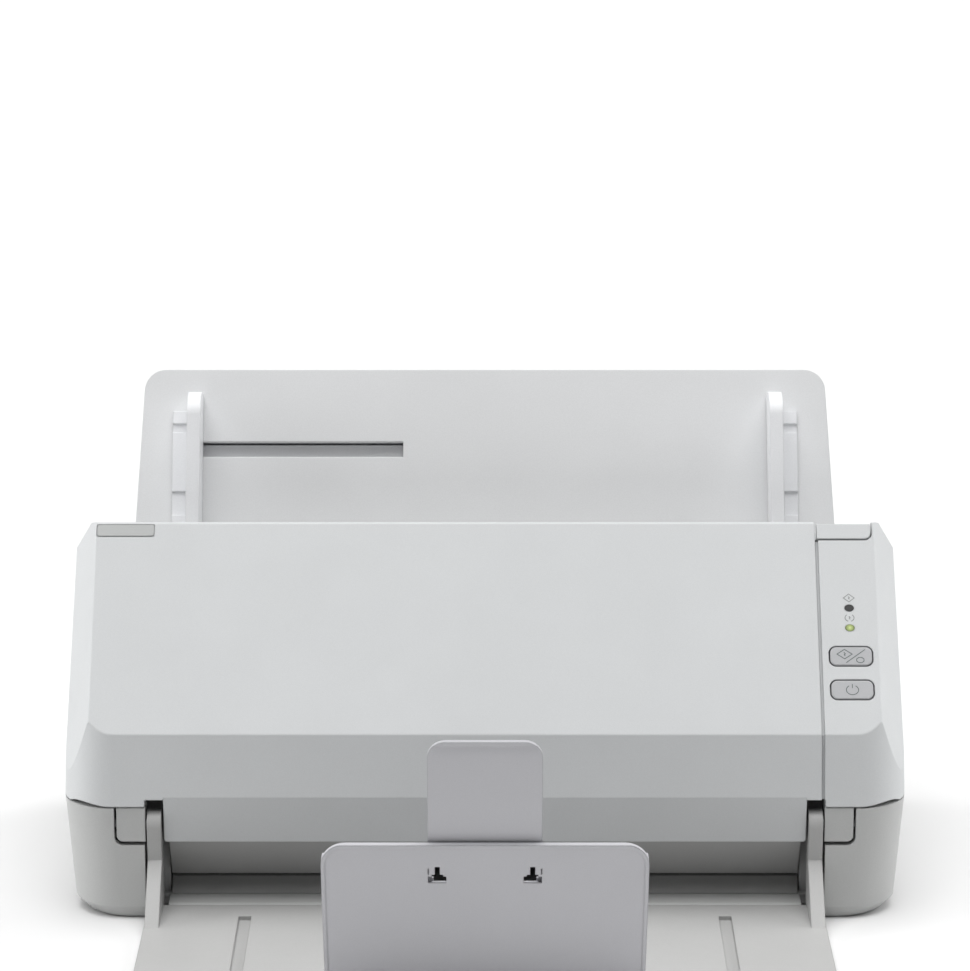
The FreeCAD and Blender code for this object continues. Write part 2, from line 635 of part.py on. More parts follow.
def feeder_frame():
    """Dark inner frame of the feeder unit: paper guide, throat, chin and end plates."""
    inner = -PAPER_GAP - FRAME_WALL
    guide = guide_sheet(inner, -PAPER_GAP, THROAT_Z, GUIDE_HALF)
    throat_in = inset_corner(FEEDER_REAR, FEEDER_THROAT, TOP_BACK, -FRAME_WALL)
    rise = (TOP_BACK[0] - FEEDER_THROAT[0], TOP_BACK[1] - FEEDER_THROAT[1])
    size = math.hypot(rise[0], rise[1])
    way = (rise[0] / size, rise[1] / size)
    top, top_in = along(FEEDER_THROAT, way, size - 5.2), along(throat_in, way, size - 5.2)
    throat = prism([FEEDER_THROAT, top, top_in, throat_in], -PANEL_HALF, PANEL_HALF)
    sides = both(path_box(GUIDE_HALF, PANEL_HALF, path_u(LID_FOOT + 3), path_u(THROAT_Z), inner, -PAPER_GAP))
    deck = both(box(GUIDE_HALF, PANEL_HALF, 12.4, FEEDER_REAR[0] - 1, LID_FOOT, LID_FOOT + FRAME_WALL))
    low = path_line(-PAPER_GAP, THROAT_Z)
    mouth = (STRIP_FOOT[0] + WALL + 0.2, STRIP_FOOT[1] + 0.5)
    mouth_in = (mouth[0] + 2.4, mouth[1] + 2.0)
    chin = prism([mouth, low[4], path_line(inner, THROAT_Z)[4], mouth_in], -GUIDE_HALF, GUIDE_HALF)
    plate_line = [mouth, (WALL + 0.6, LID_FOOT + 4), (WALL + RIDGE[0] + 0.4, RIDGE[1] - 1.2),
                  (TOP_EDGE[0] - 0.4, TOP_EDGE[1] - 4.6), top_in, throat_in]
    plate_line += path_line(inner + 0.5, THROAT_Z)
    plate = both(prism(plate_line, GUIDE_HALF - FRAME_WALL, GUIDE_HALF))
    frame = fuse_all([guide, throat, sides, deck, chin, plate] + brake_blocks() + sensor_rails(False))
    cuts = roller_windows(BRAKE_AT, BRAKE_R, (0.0,), BRAKE_W)
    cuts += roller_windows(FEED_PINCH_AT, FEED_PINCH_R, FEED_X, FEED_W)
    cuts += roller_windows(EJECT_PINCH_AT, EJECT_PINCH_R, FEED_X, FEED_W)
    cuts += [rod(c, PINCH_SHAFT_R + RUNNING, -GUIDE_HALF - 1, GUIDE_HALF + 1) for c in
             (FEED_PINCH_AT, EJECT_PINCH_AT)]
    cuts.append(rod(BRAKE_AT, BRAKE_SHAFT_R + RUNNING, -BRAKE_BLOCK_X, BRAKE_BLOCK_X))
    cuts.append(glass_block(-PAPER_GAP - GLASS_T - 3, 1))
    cuts.append(stop_bay(STOP_BAY_TOP))
    cuts += [both(hinge_arm())] + latch_cuts()
    for cut in cuts:
        frame = frame.cut(cut)
    return frame.common(lid_hollow_below())


PANEL_HALF = HALF_WIDTH - WALL - 2.0


def lid_hollow_below():
    """Space for the frame: inside the skin, or below and behind it."""
    inside = lid_hollow(WALL + 0.1)
    return inside.fuse(box(-GUIDE_HALF, GUIDE_HALF, WALL, 80, 5, LID_FOOT + 2))


def stop_bay(top):
    """Room in the middle for the end of the folded flap's stop."""
    half = STOP_HALF + 2.0
    return box(-half, half, -2.0, STOP_BAY_BACK, 0, top)


def brake_blocks():
    """Ribs of the frame that carry the short brake roller shaft."""
    blocks = []
    for x in (-BRAKE_BLOCK_X, BRAKE_BLOCK_X - BRAKE_BLOCK_T):
        outline = [along(BRAKE_AT, (-1, 0), 6.0), (BRAKE_AT[0] - 6, BRAKE_AT[1] - 16),
                   path_point(BRAKE_AT[1] - 12, -PAPER_GAP - 1), path_point(THROAT_Z, -PAPER_GAP - 1),
                   (BRAKE_AT[0] + 2, BRAKE_AT[1] + 10), (BRAKE_AT[0] - 6, BRAKE_AT[1] + 10)]
        blocks.append(prism(outline, x, x + BRAKE_BLOCK_T))
    return blocks


def glass_block(n0, n1):
    """Strip on the straight path where the two scan windows face each other."""
    u = path_u(SENSOR_Z)
    return path_box(-GLASS_HALF, GLASS_HALF, u - GLASS_W / 2, u + GLASS_W / 2, n0, n1)


def sensor_rails(behind):
    """Ledges above and below a scan window that the sensor bar rests between."""
    u = path_u(SENSOR_Z)
    rails = []
    for side in (-1, 1):
        low = u + side * (SENSOR_W / 2 + 1.2) - 1.0
        n0, n1 = (GUIDE_T, GUIDE_T + 5.0) if behind else (-PAPER_GAP - 7.5, -PAPER_GAP - FRAME_WALL + 0.2)
        rails.append(path_box(-GLASS_HALF + 6, GLASS_HALF - 6, low, low + 2.0, n0 - 0.2, n1))
    return rails


def rear_scan_glass():
    return glass_block(0.0, GLASS_T).common(path_box(-GLASS_HALF + 0.1, GLASS_HALF - 0.1,
        path_u(SENSOR_Z) - GLASS_W / 2 + 0.1, path_u(SENSOR_Z) + GLASS_W / 2 - 0.1, 0, GLASS_T))


def front_scan_glass():
    u = path_u(SENSOR_Z)
    return path_box(-GLASS_HALF + 0.1, GLASS_HALF - 0.1, u - GLASS_W / 2 + 0.1, u + GLASS_W / 2 - 0.1,
                    -PAPER_GAP - GLASS_T, -PAPER_GAP)


def sensor_bar(n0, n1):
    """Contact image sensor: a long housing with the lens slot on the window's side."""
    u = path_u(SENSOR_Z)
    half = GLASS_HALF - 1.0
    bar = path_box(-half, half, u - SENSOR_W / 2, u + SENSOR_W / 2, n0, n1)
    face = n0 if n0 > 0 else n1
    slot = path_box(-half + 4, half - 4, u - 2.5, u + 2.5, face - 1.2, face + 1.2)
    return bar.cut(slot)


def hinge_arm():
    """Arm from the feeder frame down to the hinge pin, its foot rounded at the outer corner."""
    arm = box(ARM_IN, ARM_OUT, 0.4, ARM_BACK, ARM_FOOT_Z, LID_FOOT + 20)
    foot = [e for e in arm.Edges if e.BoundBox.XLength < 0.01 and e.BoundBox.ZLength < 0.01
            and e.CenterOfMass.x > ARM_OUT - 0.5 and e.CenterOfMass.z < ARM_FOOT_Z + 0.1]
    arm = arm.makeFillet(ARM_ROUND, foot)
    front = prism([(0, LID_FOOT - 0.3), (0, LID_FOOT + 25), (14, LID_FOOT + 25), (8.0, LID_FOOT + 14),
                   (3.0, LID_FOOT - 0.3)], ARM_IN - 1, ARM_OUT + 1)
    return arm.cut(front)


def hinge_arm_right():
    return hinge_arm().cut(rod(HINGE, PIN_R + RUNNING, ARM_IN - 1, ARM_OUT + 1))


def hinge_arm_left():
    return mirrored(hinge_arm_right())


def hinge_pins():
    """One steel pin a side, pressed into the case and carrying the feeder arm and the stacker arm."""
    return both(rod(HINGE, PIN_R, STACK_IN + 0.3, COLUMN_IN + COLUMN_T))


# ---- rollers -----------------------------------------------------------------------------------------
def tyres(centre, r, shaft_r, places, width):
    rings = []
    for x in places:
        ring = rod(centre, r, x - width / 2, x + width / 2)
        rings.append(ring.cut(rod(centre, shaft_r, x - width, x + width)))
    return Part.makeCompound(rings)


def driven_shaft(centre, r, pulley_x):
    """Steel shaft through both side frames, long enough on the left for its pulley."""
    return rod(centre, r, -pulley_x - PULLEY_W - 1.0, FRAME_X + FRAME_T + 2.0)


def pulley(centre, r, shaft_r, x0):
    """Belt pulley with a flange on each side, on the left end of its shaft."""
    wheel = rod(centre, r, -x0 - PULLEY_W, -x0)
    flange = rod(centre, r + 1.0, -x0 - PULLEY_W - 0.8, -x0 - PULLEY_W + 0.0)
    inner = rod(centre, r + 1.0, -x0, -x0 + 0.8)
    return fuse_all([wheel, flange, inner]).cut(rod(centre, shaft_r, -x0 - 8, -x0 + 8))


def bush(centre, shaft_r, side):
    """Flanged bush in a side frame."""
    x0 = side * FRAME_X if side > 0 else -FRAME_X - FRAME_T
    ring = rod(centre, shaft_r + BUSH_WALL, x0, x0 + FRAME_T)
    lip_x = x0 - 1.0 if side > 0 else x0 + FRAME_T
    lip = rod(centre, shaft_r + BUSH_WALL + 1.0, lip_x, lip_x + 1.0)
    return ring.fuse(lip).cut(rod(centre, shaft_r + RUNNING, x0 - 3, x0 + 5))


SHAFTS = ((PICK_AT, PICK[2]), (FEED_AT, FEED[2]), (EJECT_AT, EJECT_SHAFT_R))


def shaft_bushes():
    return Part.makeCompound([bush(c, r, side) for c, r in SHAFTS for side in (-1, 1)])


def side_frame(side):
    """Steel plate inside the base that carries the driven shafts, with a foot on the case floor."""
    outline = [(22.0, FLOOR_TOP), (26.0, 22.0), (40.0, 34.0), (DECK_BACK + 0.7, CASE_TOP - 4),
               path_point(46, 4.5), path_point(94, 4.5),
               (118.0, 94.0), (126.0, 84.0), (126.0, FLOOR_TOP)]
    x0 = FRAME_X if side > 0 else -FRAME_X - FRAME_T
    plate = prism(outline, x0, x0 + FRAME_T)
    flange_x = x0 - 6 if side > 0 else x0 + FRAME_T
    plate = plate.fuse(box(flange_x, flange_x + 6, DECK_BACK + 4.0, 100, FLOOR_TOP, FLOOR_TOP + FRAME_T))
    for centre, r in SHAFTS:
        plate = plate.cut(rod(centre, r + BUSH_WALL + SEAT, x0 - 1, x0 + FRAME_T + 1))
    plate = plate.cut(rod((104.0, 48.0), 9.0, x0 - 1, x0 + FRAME_T + 1))
    if side < 0:
        plate = plate.cut(rod(MOTOR, 6.0, x0 - 1, x0 + FRAME_T + 1))
    return plate.removeSplitter()


def drive_motor():
    """Round motor screwed to the inside of the left side frame."""
    face = -FRAME_X
    can = rod(MOTOR, MOTOR_R, face, face + MOTOR_L)
    end_x = face + MOTOR_L
    edge = [e for e in can.Edges if abs(e.BoundBox.XMax - end_x) < 0.01 and e.BoundBox.XLength < 0.01]
    can = can.makeFillet(2.0, edge)
    boss = rod(MOTOR, 5.5, face - FRAME_T, face)
    end = rod(MOTOR, 4.0, end_x, end_x + 2.5)
    terminals = box(end_x - 0.5, end_x + 4, MOTOR[0] - 8, MOTOR[0] - 6, MOTOR[1] - 3, MOTOR[1] + 3)
    return fuse_all([can, boss, end, terminals]).cut(rod(MOTOR, MOTOR_SHAFT_R + RUNNING, face - 5, face + 10))


def motor_pulley():
    """Motor shaft with its double pulley, one track for each belt."""
    shaft = rod(MOTOR, MOTOR_SHAFT_R, -EJECT_BELT_X - PULLEY_W - 1.5, -FRAME_X + 6)
    tracks = [rod(MOTOR, MOTOR_PULLEY_R, -x - PULLEY_W, -x) for x in (DRIVE_BELT_X, EJECT_BELT_X)]
    join = rod(MOTOR, MOTOR_PULLEY_R + 1.0, -EJECT_BELT_X, -DRIVE_BELT_X - PULLEY_W)
    end = rod(MOTOR, MOTOR_PULLEY_R + 1.0, -EJECT_BELT_X - PULLEY_W - 0.8, -EJECT_BELT_X - PULLEY_W)
    return fuse_all([shaft, join, end] + tracks)


def drive_belt():
    loop = [(MOTOR, MOTOR_PULLEY_R), (FEED_AT, FEED_PULLEY_R), (PICK_AT, PICK_PULLEY_R)]
    return tube_belt(loop, -DRIVE_BELT_X - PULLEY_W + 0.3, -DRIVE_BELT_X - 0.3)


def eject_belt():
    loop = [(MOTOR, MOTOR_PULLEY_R), (EJECT_AT, EJECT_PULLEY_R)]
    return tube_belt(loop, -EJECT_BELT_X - PULLEY_W + 0.3, -EJECT_BELT_X - 0.3)


# ---- feeder unit: cover latch ------------------------------------------------------------------------
def latch_shaft():
    """Steel rod across the feeder unit with a hook at each end."""
    shaft = rod(LATCH_AT, LATCH_R, -HOOK_X - HOOK_T, HOOK_X + HOOK_T)
    nose = path_point(HOOK_Z - 4, HOOK_REACH)
    outline = [(LATCH_AT[0] - 3.5, LATCH_AT[1] + 2), (LATCH_AT[0] + 3.5, LATCH_AT[1] + 2),
               path_point(HOOK_Z + 1, -PAPER_GAP - 4), path_point(HOOK_Z - 2, HOOK_REACH), nose,
               path_point(HOOK_Z - 9, -PAPER_GAP - 5)]
    hooks = both(prism(outline, HOOK_X, HOOK_X + HOOK_T))
    return fuse_all([shaft, hooks])


def release_tab():
    """Finger tab at the top of the operator panel, clipped on the latch shaft by its stem."""
    cap = slope_box(TAB_X, TAB_S, -2.4, 0.25)
    corner = [e for e in cap.Edges if e.BoundBox.XLength < 0.01 and is_low_right(e)]
    cap = cap.makeFillet(TAB_ROUND, corner)
    stem = prism([(54.9, 123.3), (56.6, 126.4), (LATCH_AT[0] + 4, LATCH_AT[1] + 1),
                  (LATCH_AT[0] + 2, LATCH_AT[1] - 4), (LATCH_AT[0] - 4, LATCH_AT[1] - 2)], 126.5, 131.5)
    return fuse_all([cap, stem]).cut(rod(LATCH_AT, LATCH_R + SEAT, 120, 140))


def is_low_right(edge):
    """The upright edge of the tab at its lower right corner."""
    far = abs(edge.CenterOfMass.x - TAB_X[1]) < 0.01
    straight = V(0, -math.sin(SLOPE), math.cos(SLOPE))
    flow = edge.tangentAt(edge.FirstParameter)
    low = (edge.CenterOfMass.y - TOP_EDGE[0]) / math.cos(SLOPE) < -TAB_S[1] + 2.2
    return far and abs(flow.dot(straight)) > 0.9 and low


def latch_spring():
    """Torsion spring round the latch shaft, drawn as its wound sleeve with one leg."""
    sleeve = rod(LATCH_AT, LATCH_R + 1.4, 114.0, 122.0).cut(rod(LATCH_AT, LATCH_R + 0.3, 110, 125))
    leg = box(120.8, 122.0, LATCH_AT[0] - 11, LATCH_AT[0] - 2.6, LATCH_AT[1] - 0.6, LATCH_AT[1] + 0.6)
    return sleeve.fuse(leg).removeSplitter()


def latch_cuts():
    """What the latch needs cut from the feeder frame: bearing holes and hook windows."""
    hole = rod(LATCH_AT, LATCH_R + RUNNING, -HALF_WIDTH, HALF_WIDTH)
    low, high = path_u(HOOK_Z - 13), path_u(HOOK_Z + 11)
    window = both(path_box(HOOK_X - 1, HOOK_X + HOOK_T + 1, low, high, -26, 3))
    return [hole, window]


# ---- lower case --------------------------------------------------------------------------------------
LIP_Y = TRAY_BACK + 0.5


def lower_case():
    """Tub of the lower body: floor, sides, rear wall, front columns, arm pockets and exit cavity."""
    outside = lower_body(0, BAND_TOP, CASE_TOP).fuse(foot_band())
    case = outside.cut(lower_body(WALL, FLOOR_TOP, CASE_TOP + 1))
    ribs = [box(COLUMN_IN, HALF_WIDTH, 0.5, DECK_BACK, CASE_TOP - 2, CASE_TOP),
            box(CHEEK, COLUMN_IN + 1, POCKET_BACK, DECK_BACK, CASE_TOP - 2, CASE_TOP),
            box(CHEEK, CHEEK + CHEEK_T, POCKET_BACK, DECK_BACK, FLOOR_TOP - 1, CASE_TOP),
            box(CHEEK, COLUMN_IN + 1, POCKET_BACK, POCKET_BACK + 2, FLOOR_TOP - 1, CASE_TOP),
            box(COLUMN_IN, COLUMN_IN + COLUMN_T, 1.0, POCKET_BACK + 2, FLOOR_TOP - 1, CASE_TOP),
            box(NOTCH_OUT + 0.1, NOTCH_OUT + 2.1, 1.0, POCKET_BACK + 2, FLOOR_TOP - 1, POCKET_FOOT_Z),
            box(NOTCH_OUT + 0.1, COLUMN_IN + 1, 1.0, POCKET_BACK + 2, POCKET_FOOT_Z - 2, POCKET_FOOT_Z)]
    for rib in ribs:
        case = case.fuse(both(rib.common(outside)))
    for x, y in board_posts():
        case = case.fuse(Part.makeCylinder(POST_R, BOARD_Z - FLOOR_TOP + 0.5, V(x, y, FLOOR_TOP - 0.5)))
    cuts = [box(-NOTCH_OUT - 0.1, NOTCH_OUT + 0.1, -1, LIP_Y, 0, CASE_TOP + 1),
            both(box(CHEEK, NOTCH_OUT + 0.1, -1, SLOT_BACK, 0, CASE_TOP + 1)),
            both(arm_pocket()),
            rod(HINGE, PIN_R + SEAT, -COLUMN_IN - COLUMN_T, COLUMN_IN + COLUMN_T),
            rod(EJECT_AT, EJECT_SHAFT_R + 1, -CHEEK - CHEEK_T - 1, CHEEK + CHEEK_T + 1)]
    cuts.append(front_edge_relief())
    cuts += [socket_window(*USB_X, "usb"), socket_window(*LAN_X, "lan"), socket_window(*POWER_X, "power")]
    cuts += [Part.makeCylinder(FOOT_R + 0.05, FOOT_SUNK, V(x, y, FOOT_Z)) for x, y in FEET_AT]
    cuts += [Part.makeCylinder(SCREW_R + SEAT, BOARD_Z, V(x, y, FLOOR_TOP + 0.4)) for x, y in board_posts()]
    for cut in cuts:
        case = case.cut(cut)
    lip = [e for e in case.Edges if e.Length > 200 and abs(e.BoundBox.YMax - LIP_Y) < 0.01
           and abs(e.BoundBox.ZMin - FLOOR_TOP) < 0.01]
    return case.makeFillet(1.8, lip).removeSplitter()


def arm_pocket():
    """Room for a feeder arm, rounded at its outer lower corner as the arm is."""
    pocket = box(NOTCH_OUT + 0.1, COLUMN_IN, -1, POCKET_BACK, POCKET_FOOT_Z, CASE_TOP + 1)
    corner = [e for e in pocket.Edges if e.BoundBox.XLength < 0.01 and e.BoundBox.ZLength < 0.01
              and e.CenterOfMass.x > COLUMN_IN - 0.1 and e.CenterOfMass.z < POCKET_FOOT_Z + 0.1]
    return pocket.makeFillet(ARM_ROUND + COLUMN_IN - ARM_OUT, corner)


def front_edge_relief():
    """What the front top edge of the case gives up, so that the feeder unit's edge can swing past it."""
    edge = box(-HALF_WIDTH - 1, HALF_WIDTH + 1, -1, HINGE[0], HINGE[1] + 4, CASE_TOP + 1)
    return edge.cut(rod(HINGE, CASE_ARCH_R, -HALF_WIDTH - 2, HALF_WIDTH + 2))


def socket_window(x0, x1, kind):
    return box(x0 - 0.3, x1 + 0.3, DEPTH - WALL - 1, DEPTH + 1, BOARD_Z + BOARD_T - 0.3,
               BOARD_Z + BOARD_T + SOCKET_H[kind] + 0.3)


def board_posts():
    x0, x1, y0, y1 = BOARD
    return [(x, y) for x in (x0 + 5, x1 - 5) for y in (y0 + 5, y1 - 5)]


def main_board():
    x0, x1, y0, y1 = BOARD
    board = box(x0, x1, y0, y1, BOARD_Z, BOARD_Z + BOARD_T)
    for x, y in board_posts():
        board = board.cut(Part.makeCylinder(SCREW_R + 0.6, BOARD_T + 2, V(x, y, BOARD_Z - 1)))
    top = BOARD_Z + BOARD_T
    chips = [box(40, 58, 92, 110, top, top + 1.6), box(70, 82, 92, 102, top, top + 1.2),
             box(26, 34, 96, 112, top, top + 6.0), box(90, 96, 90, 108, top, top + 5.0)]
    return fuse_all([board] + chips)


def socket(x0, x1, kind, hole_w, hole_h):
    """Metal or moulded socket shell on the board with its mouth in the rear wall."""
    z0 = BOARD_Z + BOARD_T
    height = SOCKET_H[kind]
    shell = box(x0, x1, DEPTH - 18, DEPTH - 0.4, z0, z0 + height)
    mid = (x0 + x1) / 2
    foot = z0 + (height - hole_h) / 2
    shell = shell.cut(box(mid - hole_w / 2, mid + hole_w / 2, DEPTH - 12, DEPTH, foot, foot + hole_h))
    return shell


def usb_socket():
    shell = socket(*USB_X, "usb", 8.6, 7.8)
    mid = sum(USB_X) / 2
    z = BOARD_Z + BOARD_T + SOCKET_H["usb"] / 2
    return shell.fuse(box(mid - 2.8, mid + 2.8, DEPTH - 13, DEPTH - 6, z - 1.5, z + 1.5)).removeSplitter()


def network_socket():
    return socket(*LAN_X, "lan", 11.8, 8.4)


def power_inlet():
    mid = sum(POWER_X) / 2
    z = BOARD_Z + BOARD_T + SOCKET_H["power"] / 2
    body = box(POWER_X[0], POWER_X[1], DEPTH - 16, DEPTH - 0.4, BOARD_Z + BOARD_T, z + SOCKET_H["power"] / 2)
    body = body.cut(Part.makeCylinder(3.2, 12, V(mid, DEPTH - 10.4, z), V(0, 1, 0)))
    pin = Part.makeCylinder(0.9, 8, V(mid, DEPTH - 11, z), V(0, 1, 0))
    return body.fuse(pin).removeSplitter()


def feet():
    pads = []
    for x, y in FEET_AT:
        pad = Part.makeCylinder(FOOT_R, FOOT_Z + FOOT_SUNK, V(x, y, 0))
        pads.append(pad.makeFillet(0.5, [e for e in pad.Edges if e.BoundBox.ZMax < 0.01]))
    return Part.makeCompound(pads)


def case_screws():
    """Pan head screws that hold the main board."""
    top = BOARD_Z + BOARD_T
    screws = []
    for x, y in board_posts():
        head = Part.makeCylinder(2.6, 1.8, V(x, y, top))
        shank = Part.makeCylinder(SCREW_R, 7.0, V(x, y, top - 7.0))
        recess = box(x - 1.4, x + 1.4, y - 0.3, y + 0.3, top + 1.0, top + 2)
        screws.append(head.fuse(shank).cut(recess))
    return Part.makeCompound(screws)


# ---- rear cover and paper guide ----------------------------------------------------------------------
def rear_cover():
    """Upper rear housing: back, top, sides and the paper path's wall beside the guide."""
    low, top = path_point(LID_FOOT), path_point(REAR_TOP)
    outline = [low, top, (DEPTH, REAR_TOP), (DEPTH, LID_FOOT)]
    outside = prism(outline, -HALF_WIDTH, HALF_WIDTH).common(upper_body(0, LID_FOOT - 3, REAR_TOP + 5))
    back = [e for e in outside.Edges if is_long(e, 150) and near(e, (DEPTH, REAR_TOP))]
    outside = outside.makeFillet(REAR_ROUND, back)
    inner = [path_point(LID_FOOT - 5, WALL), inset_corner(low, top, outline[2], WALL),
             (DEPTH - WALL, REAR_TOP - WALL), (DEPTH - WALL, LID_FOOT - 5)]
    hollow = prism(inner, -HALF_WIDTH, HALF_WIDTH).common(upper_body(WALL, LID_FOOT - 5, REAR_TOP + 5))
    shell = outside.cut(hollow)
    foot = path_u(CHUTE_FOOT_Z)
    ledge = path_box(-HALF_WIDTH, HALF_WIDTH, foot - 2.5, foot - 0.1, WALL - 0.5, BACK_N + BACK_T + 1.5)
    shell = shell.fuse(ledge.common(hollow))
    slot_half = CHUTE_LOW_HALF + 0.6
    cuts = [path_box(-CHEEK, CHEEK, path_u(LID_FOOT) - 9, path_u(GUIDE_TOP_Z) + 0.3, -3, WALL + 0.2),
            path_box(-slot_half, slot_half, foot - 0.1, foot + 40, -3, BACK_N + BACK_T + 0.3),
            both(path_box(HOOK_X - 1.2, HOOK_X + HOOK_T + 1.2, path_u(HOOK_Z - 8), path_u(HOOK_Z + 5),
                          -3, 5))]
    for cut in cuts:
        shell = shell.cut(cut)
    for k in range(9):
        x = -60.0 + 15.0 * k
        shell = shell.cut(box(x - 5, x + 5, DEPTH - 5, DEPTH + 1, 76, 78.4))
        shell = shell.cut(box(x - 5, x + 5, DEPTH - 5, DEPTH + 1, 82, 84.4))
    return shell.removeSplitter()


def guide_plate():
    """Paper guide of the base: follows the path from the chute to the exit."""
    sheet = guide_sheet(0.0, GUIDE_T, GUIDE_TOP_Z, GUIDE_HALF)
    a, b = path_line(0.0, 50)[4], path_line(GUIDE_T, 50)[4]
    riser = prism([a, b, (b[0] - 2.2, FLOOR_TOP), (a[0] - 4.0, FLOOR_TOP)], -GUIDE_HALF, GUIDE_HALF)
    plate = fuse_all([sheet, riser] + sensor_rails(True))
    cuts = roller_windows(PICK_AT, PICK[1], PICK_X, PICK_W)
    cuts += roller_windows(FEED_AT, FEED[1], FEED_X, FEED_W)
    cuts += roller_windows(EJECT_AT, EJECT_R, FEED_X, FEED_W)
    cuts.append(rod(EJECT_AT, EJECT_SHAFT_R + 1, -GUIDE_HALF - 1, GUIDE_HALF + 1))
    cuts.append(glass_block(-1, GLASS_T + 3))
    cuts.append(stop_bay(30.0))
    cuts.append(path_box(LEVER_X - 2.5, LEVER_X + 2.5, path_u(LEVER_Z) - 3, path_u(LEVER_Z) + 16, -1, 5))
    for cut in cuts:
        plate = plate.cut(cut)
    return plate


LEVER_AT = path_point(LEVER_Z + 2.0, 7.0)


def paper_lever():
    """Light lever that a sheet pushes aside, on a stub shaft behind the guide."""
    hub = rod(LEVER_AT, 3.0, LEVER_X - 1.8, LEVER_X + 1.8)
    tip = prism([along(LEVER_AT, (-1, 0), 1.5), along(LEVER_AT, PATH_UP, 2.6),
                 path_point(LEVER_Z + 9, -0.9), path_point(LEVER_Z + 6.5, -0.9)],
                LEVER_X - 1.2, LEVER_X + 1.2)
    flag = prism([along(LEVER_AT, (0, -1), 1), along(LEVER_AT, (1, 0), 2.5),
                  (LEVER_AT[0] + 6, LEVER_AT[1] - 9), (LEVER_AT[0] + 3, LEVER_AT[1] - 10)],
                 LEVER_X - 1.2, LEVER_X + 1.2)
    return fuse_all([hub, tip, flag]).cut(rod(LEVER_AT, LEVER_PIN_R + RUNNING, LEVER_X - 5, LEVER_X + 5))


def lever_bracket():
    """Bracket behind the guide with the lever's stub shaft."""
    pin = rod(LEVER_AT, LEVER_PIN_R, LEVER_X - 2.2, LEVER_X + 5.0)
    plate = path_box(LEVER_X + 3.0, LEVER_X + 5.0, path_u(LEVER_Z) - 4, path_u(LEVER_Z) + 8, GUIDE_T, 11.0)
    return pin.fuse(plate).removeSplitter()


# ---- stacker -----------------------------------------------------------------------------------------
def stacker_tray():
    """Tray plate with its two side arms up to the hinge pins, and ears for the flap at its front."""
    plate = box(-TRAY_HALF, TRAY_HALF, TRAY_FRONT, TRAY_BACK, TRAY_TOP - TRAY_T, TRAY_TOP)
    front = [e for e in plate.Edges if e.BoundBox.ZLength > 1 and e.CenterOfMass.y < TRAY_FRONT + 1]
    plate = plate.makeFillet(8.0, front)
    bay = box(-FLAP_HALF - 1.0, FLAP_HALF + 1.0, TRAY_FRONT - 1, FLAP_HINGE[0] + BARREL_R + 1.2, -1, 10)
    arm = stacker_arm(STACK_IN, STACK_OUT)
    ear_line = [(FLAP_HINGE[0] - 3.6, TRAY_TOP - 1), (FLAP_HINGE[0] - 3.6, FLAP_HINGE[1]),
                (FLAP_HINGE[0] - 2.0, FLAP_HINGE[1] + 3), (FLAP_HINGE[0] + 2.0, FLAP_HINGE[1] + 3),
                (FLAP_HINGE[0] + 6.0, TRAY_TOP - 1)]
    ear = prism(ear_line, FLAP_HALF + 1.0, FLAP_HALF + 5.0)
    tray = fuse_all([plate.cut(bay), both(arm), both(ear)])
    cuts = [both(box(GROOVE_X - GROOVE_W / 2, GROOVE_X + GROOVE_W / 2, TRAY_FRONT + 8, GROOVE_BACK,
                     TRAY_TOP - GROOVE_DEEP, TRAY_TOP + 2)),
            rod(FLAP_HINGE, FLAP_PIN_R + RUNNING, -FLAP_HALF - 6, FLAP_HALF + 6),
            rod(HINGE, PIN_R + RUNNING, -STACK_OUT - 1, STACK_OUT + 1)]
    for cut in cuts:
        tray = tray.cut(cut)
    return tray.removeSplitter()


def stacker_arm(x0, x1):
    """Side arm: round head at the pin, straight front edge, then a slope down on to the tray."""
    h = HINGE
    head = rod(h, STACK_HEAD, x0, x1)
    web = prism([(h[0] - STACK_HEAD, h[1]), (h[0] - STACK_HEAD + 1.5, 22.0), (STEP_Y, TRAY_TOP - 0.5),
                 (STEP_Y, TRAY_TOP - TRAY_T), (TRAY_BACK, TRAY_TOP - TRAY_T), (7.4, 4.4),
                 (h[0] + STACK_HEAD, h[1])], x0, x1)
    return head.fuse(web)


def flap_point(r, a):
    """Point (y, z) at radius r and angle a about the flap's centre."""
    a = math.radians(a)
    return (FLAP_CENTRE[0] + r * math.cos(a), FLAP_CENTRE[1] + r * math.sin(a))


def flap_arc(r0, r1, low, high, x0, x1):
    """Part of a ring about the flap's centre, between two radii and two angles."""
    mid = (low + high) / 2
    at = flap_point
    edges = [arc(at(r0, low), at(r0, mid), at(r0, high)), line(at(r0, high), at(r1, high)),
             arc(at(r1, high), at(r1, mid), at(r1, low)), line(at(r1, low), at(r0, low))]
    face = Part.Face(Part.Wire(edges))
    return face.extrude(V(x1 - x0, 0, 0)).translated(V(x0, 0, 0))


FLAP_OUT = FLAP_R + FLAP_T / 2
FLAP_IN = FLAP_R - FLAP_T / 2
STOP_OUT = FLAP_IN - STOP_GAP
STOP_IN = STOP_OUT - STOP_T


def round_top(shape, half, top_z, r, low_z):
    """Trims a front-facing sheet to an outline with two round upper corners."""
    outline = box(-half, half, -200, 60, low_z, top_z)
    upper = [e for e in outline.Edges if e.BoundBox.YLength > 100 and e.CenterOfMass.z > top_z - 0.1]
    return shape.common(outline.makeFillet(r, upper))


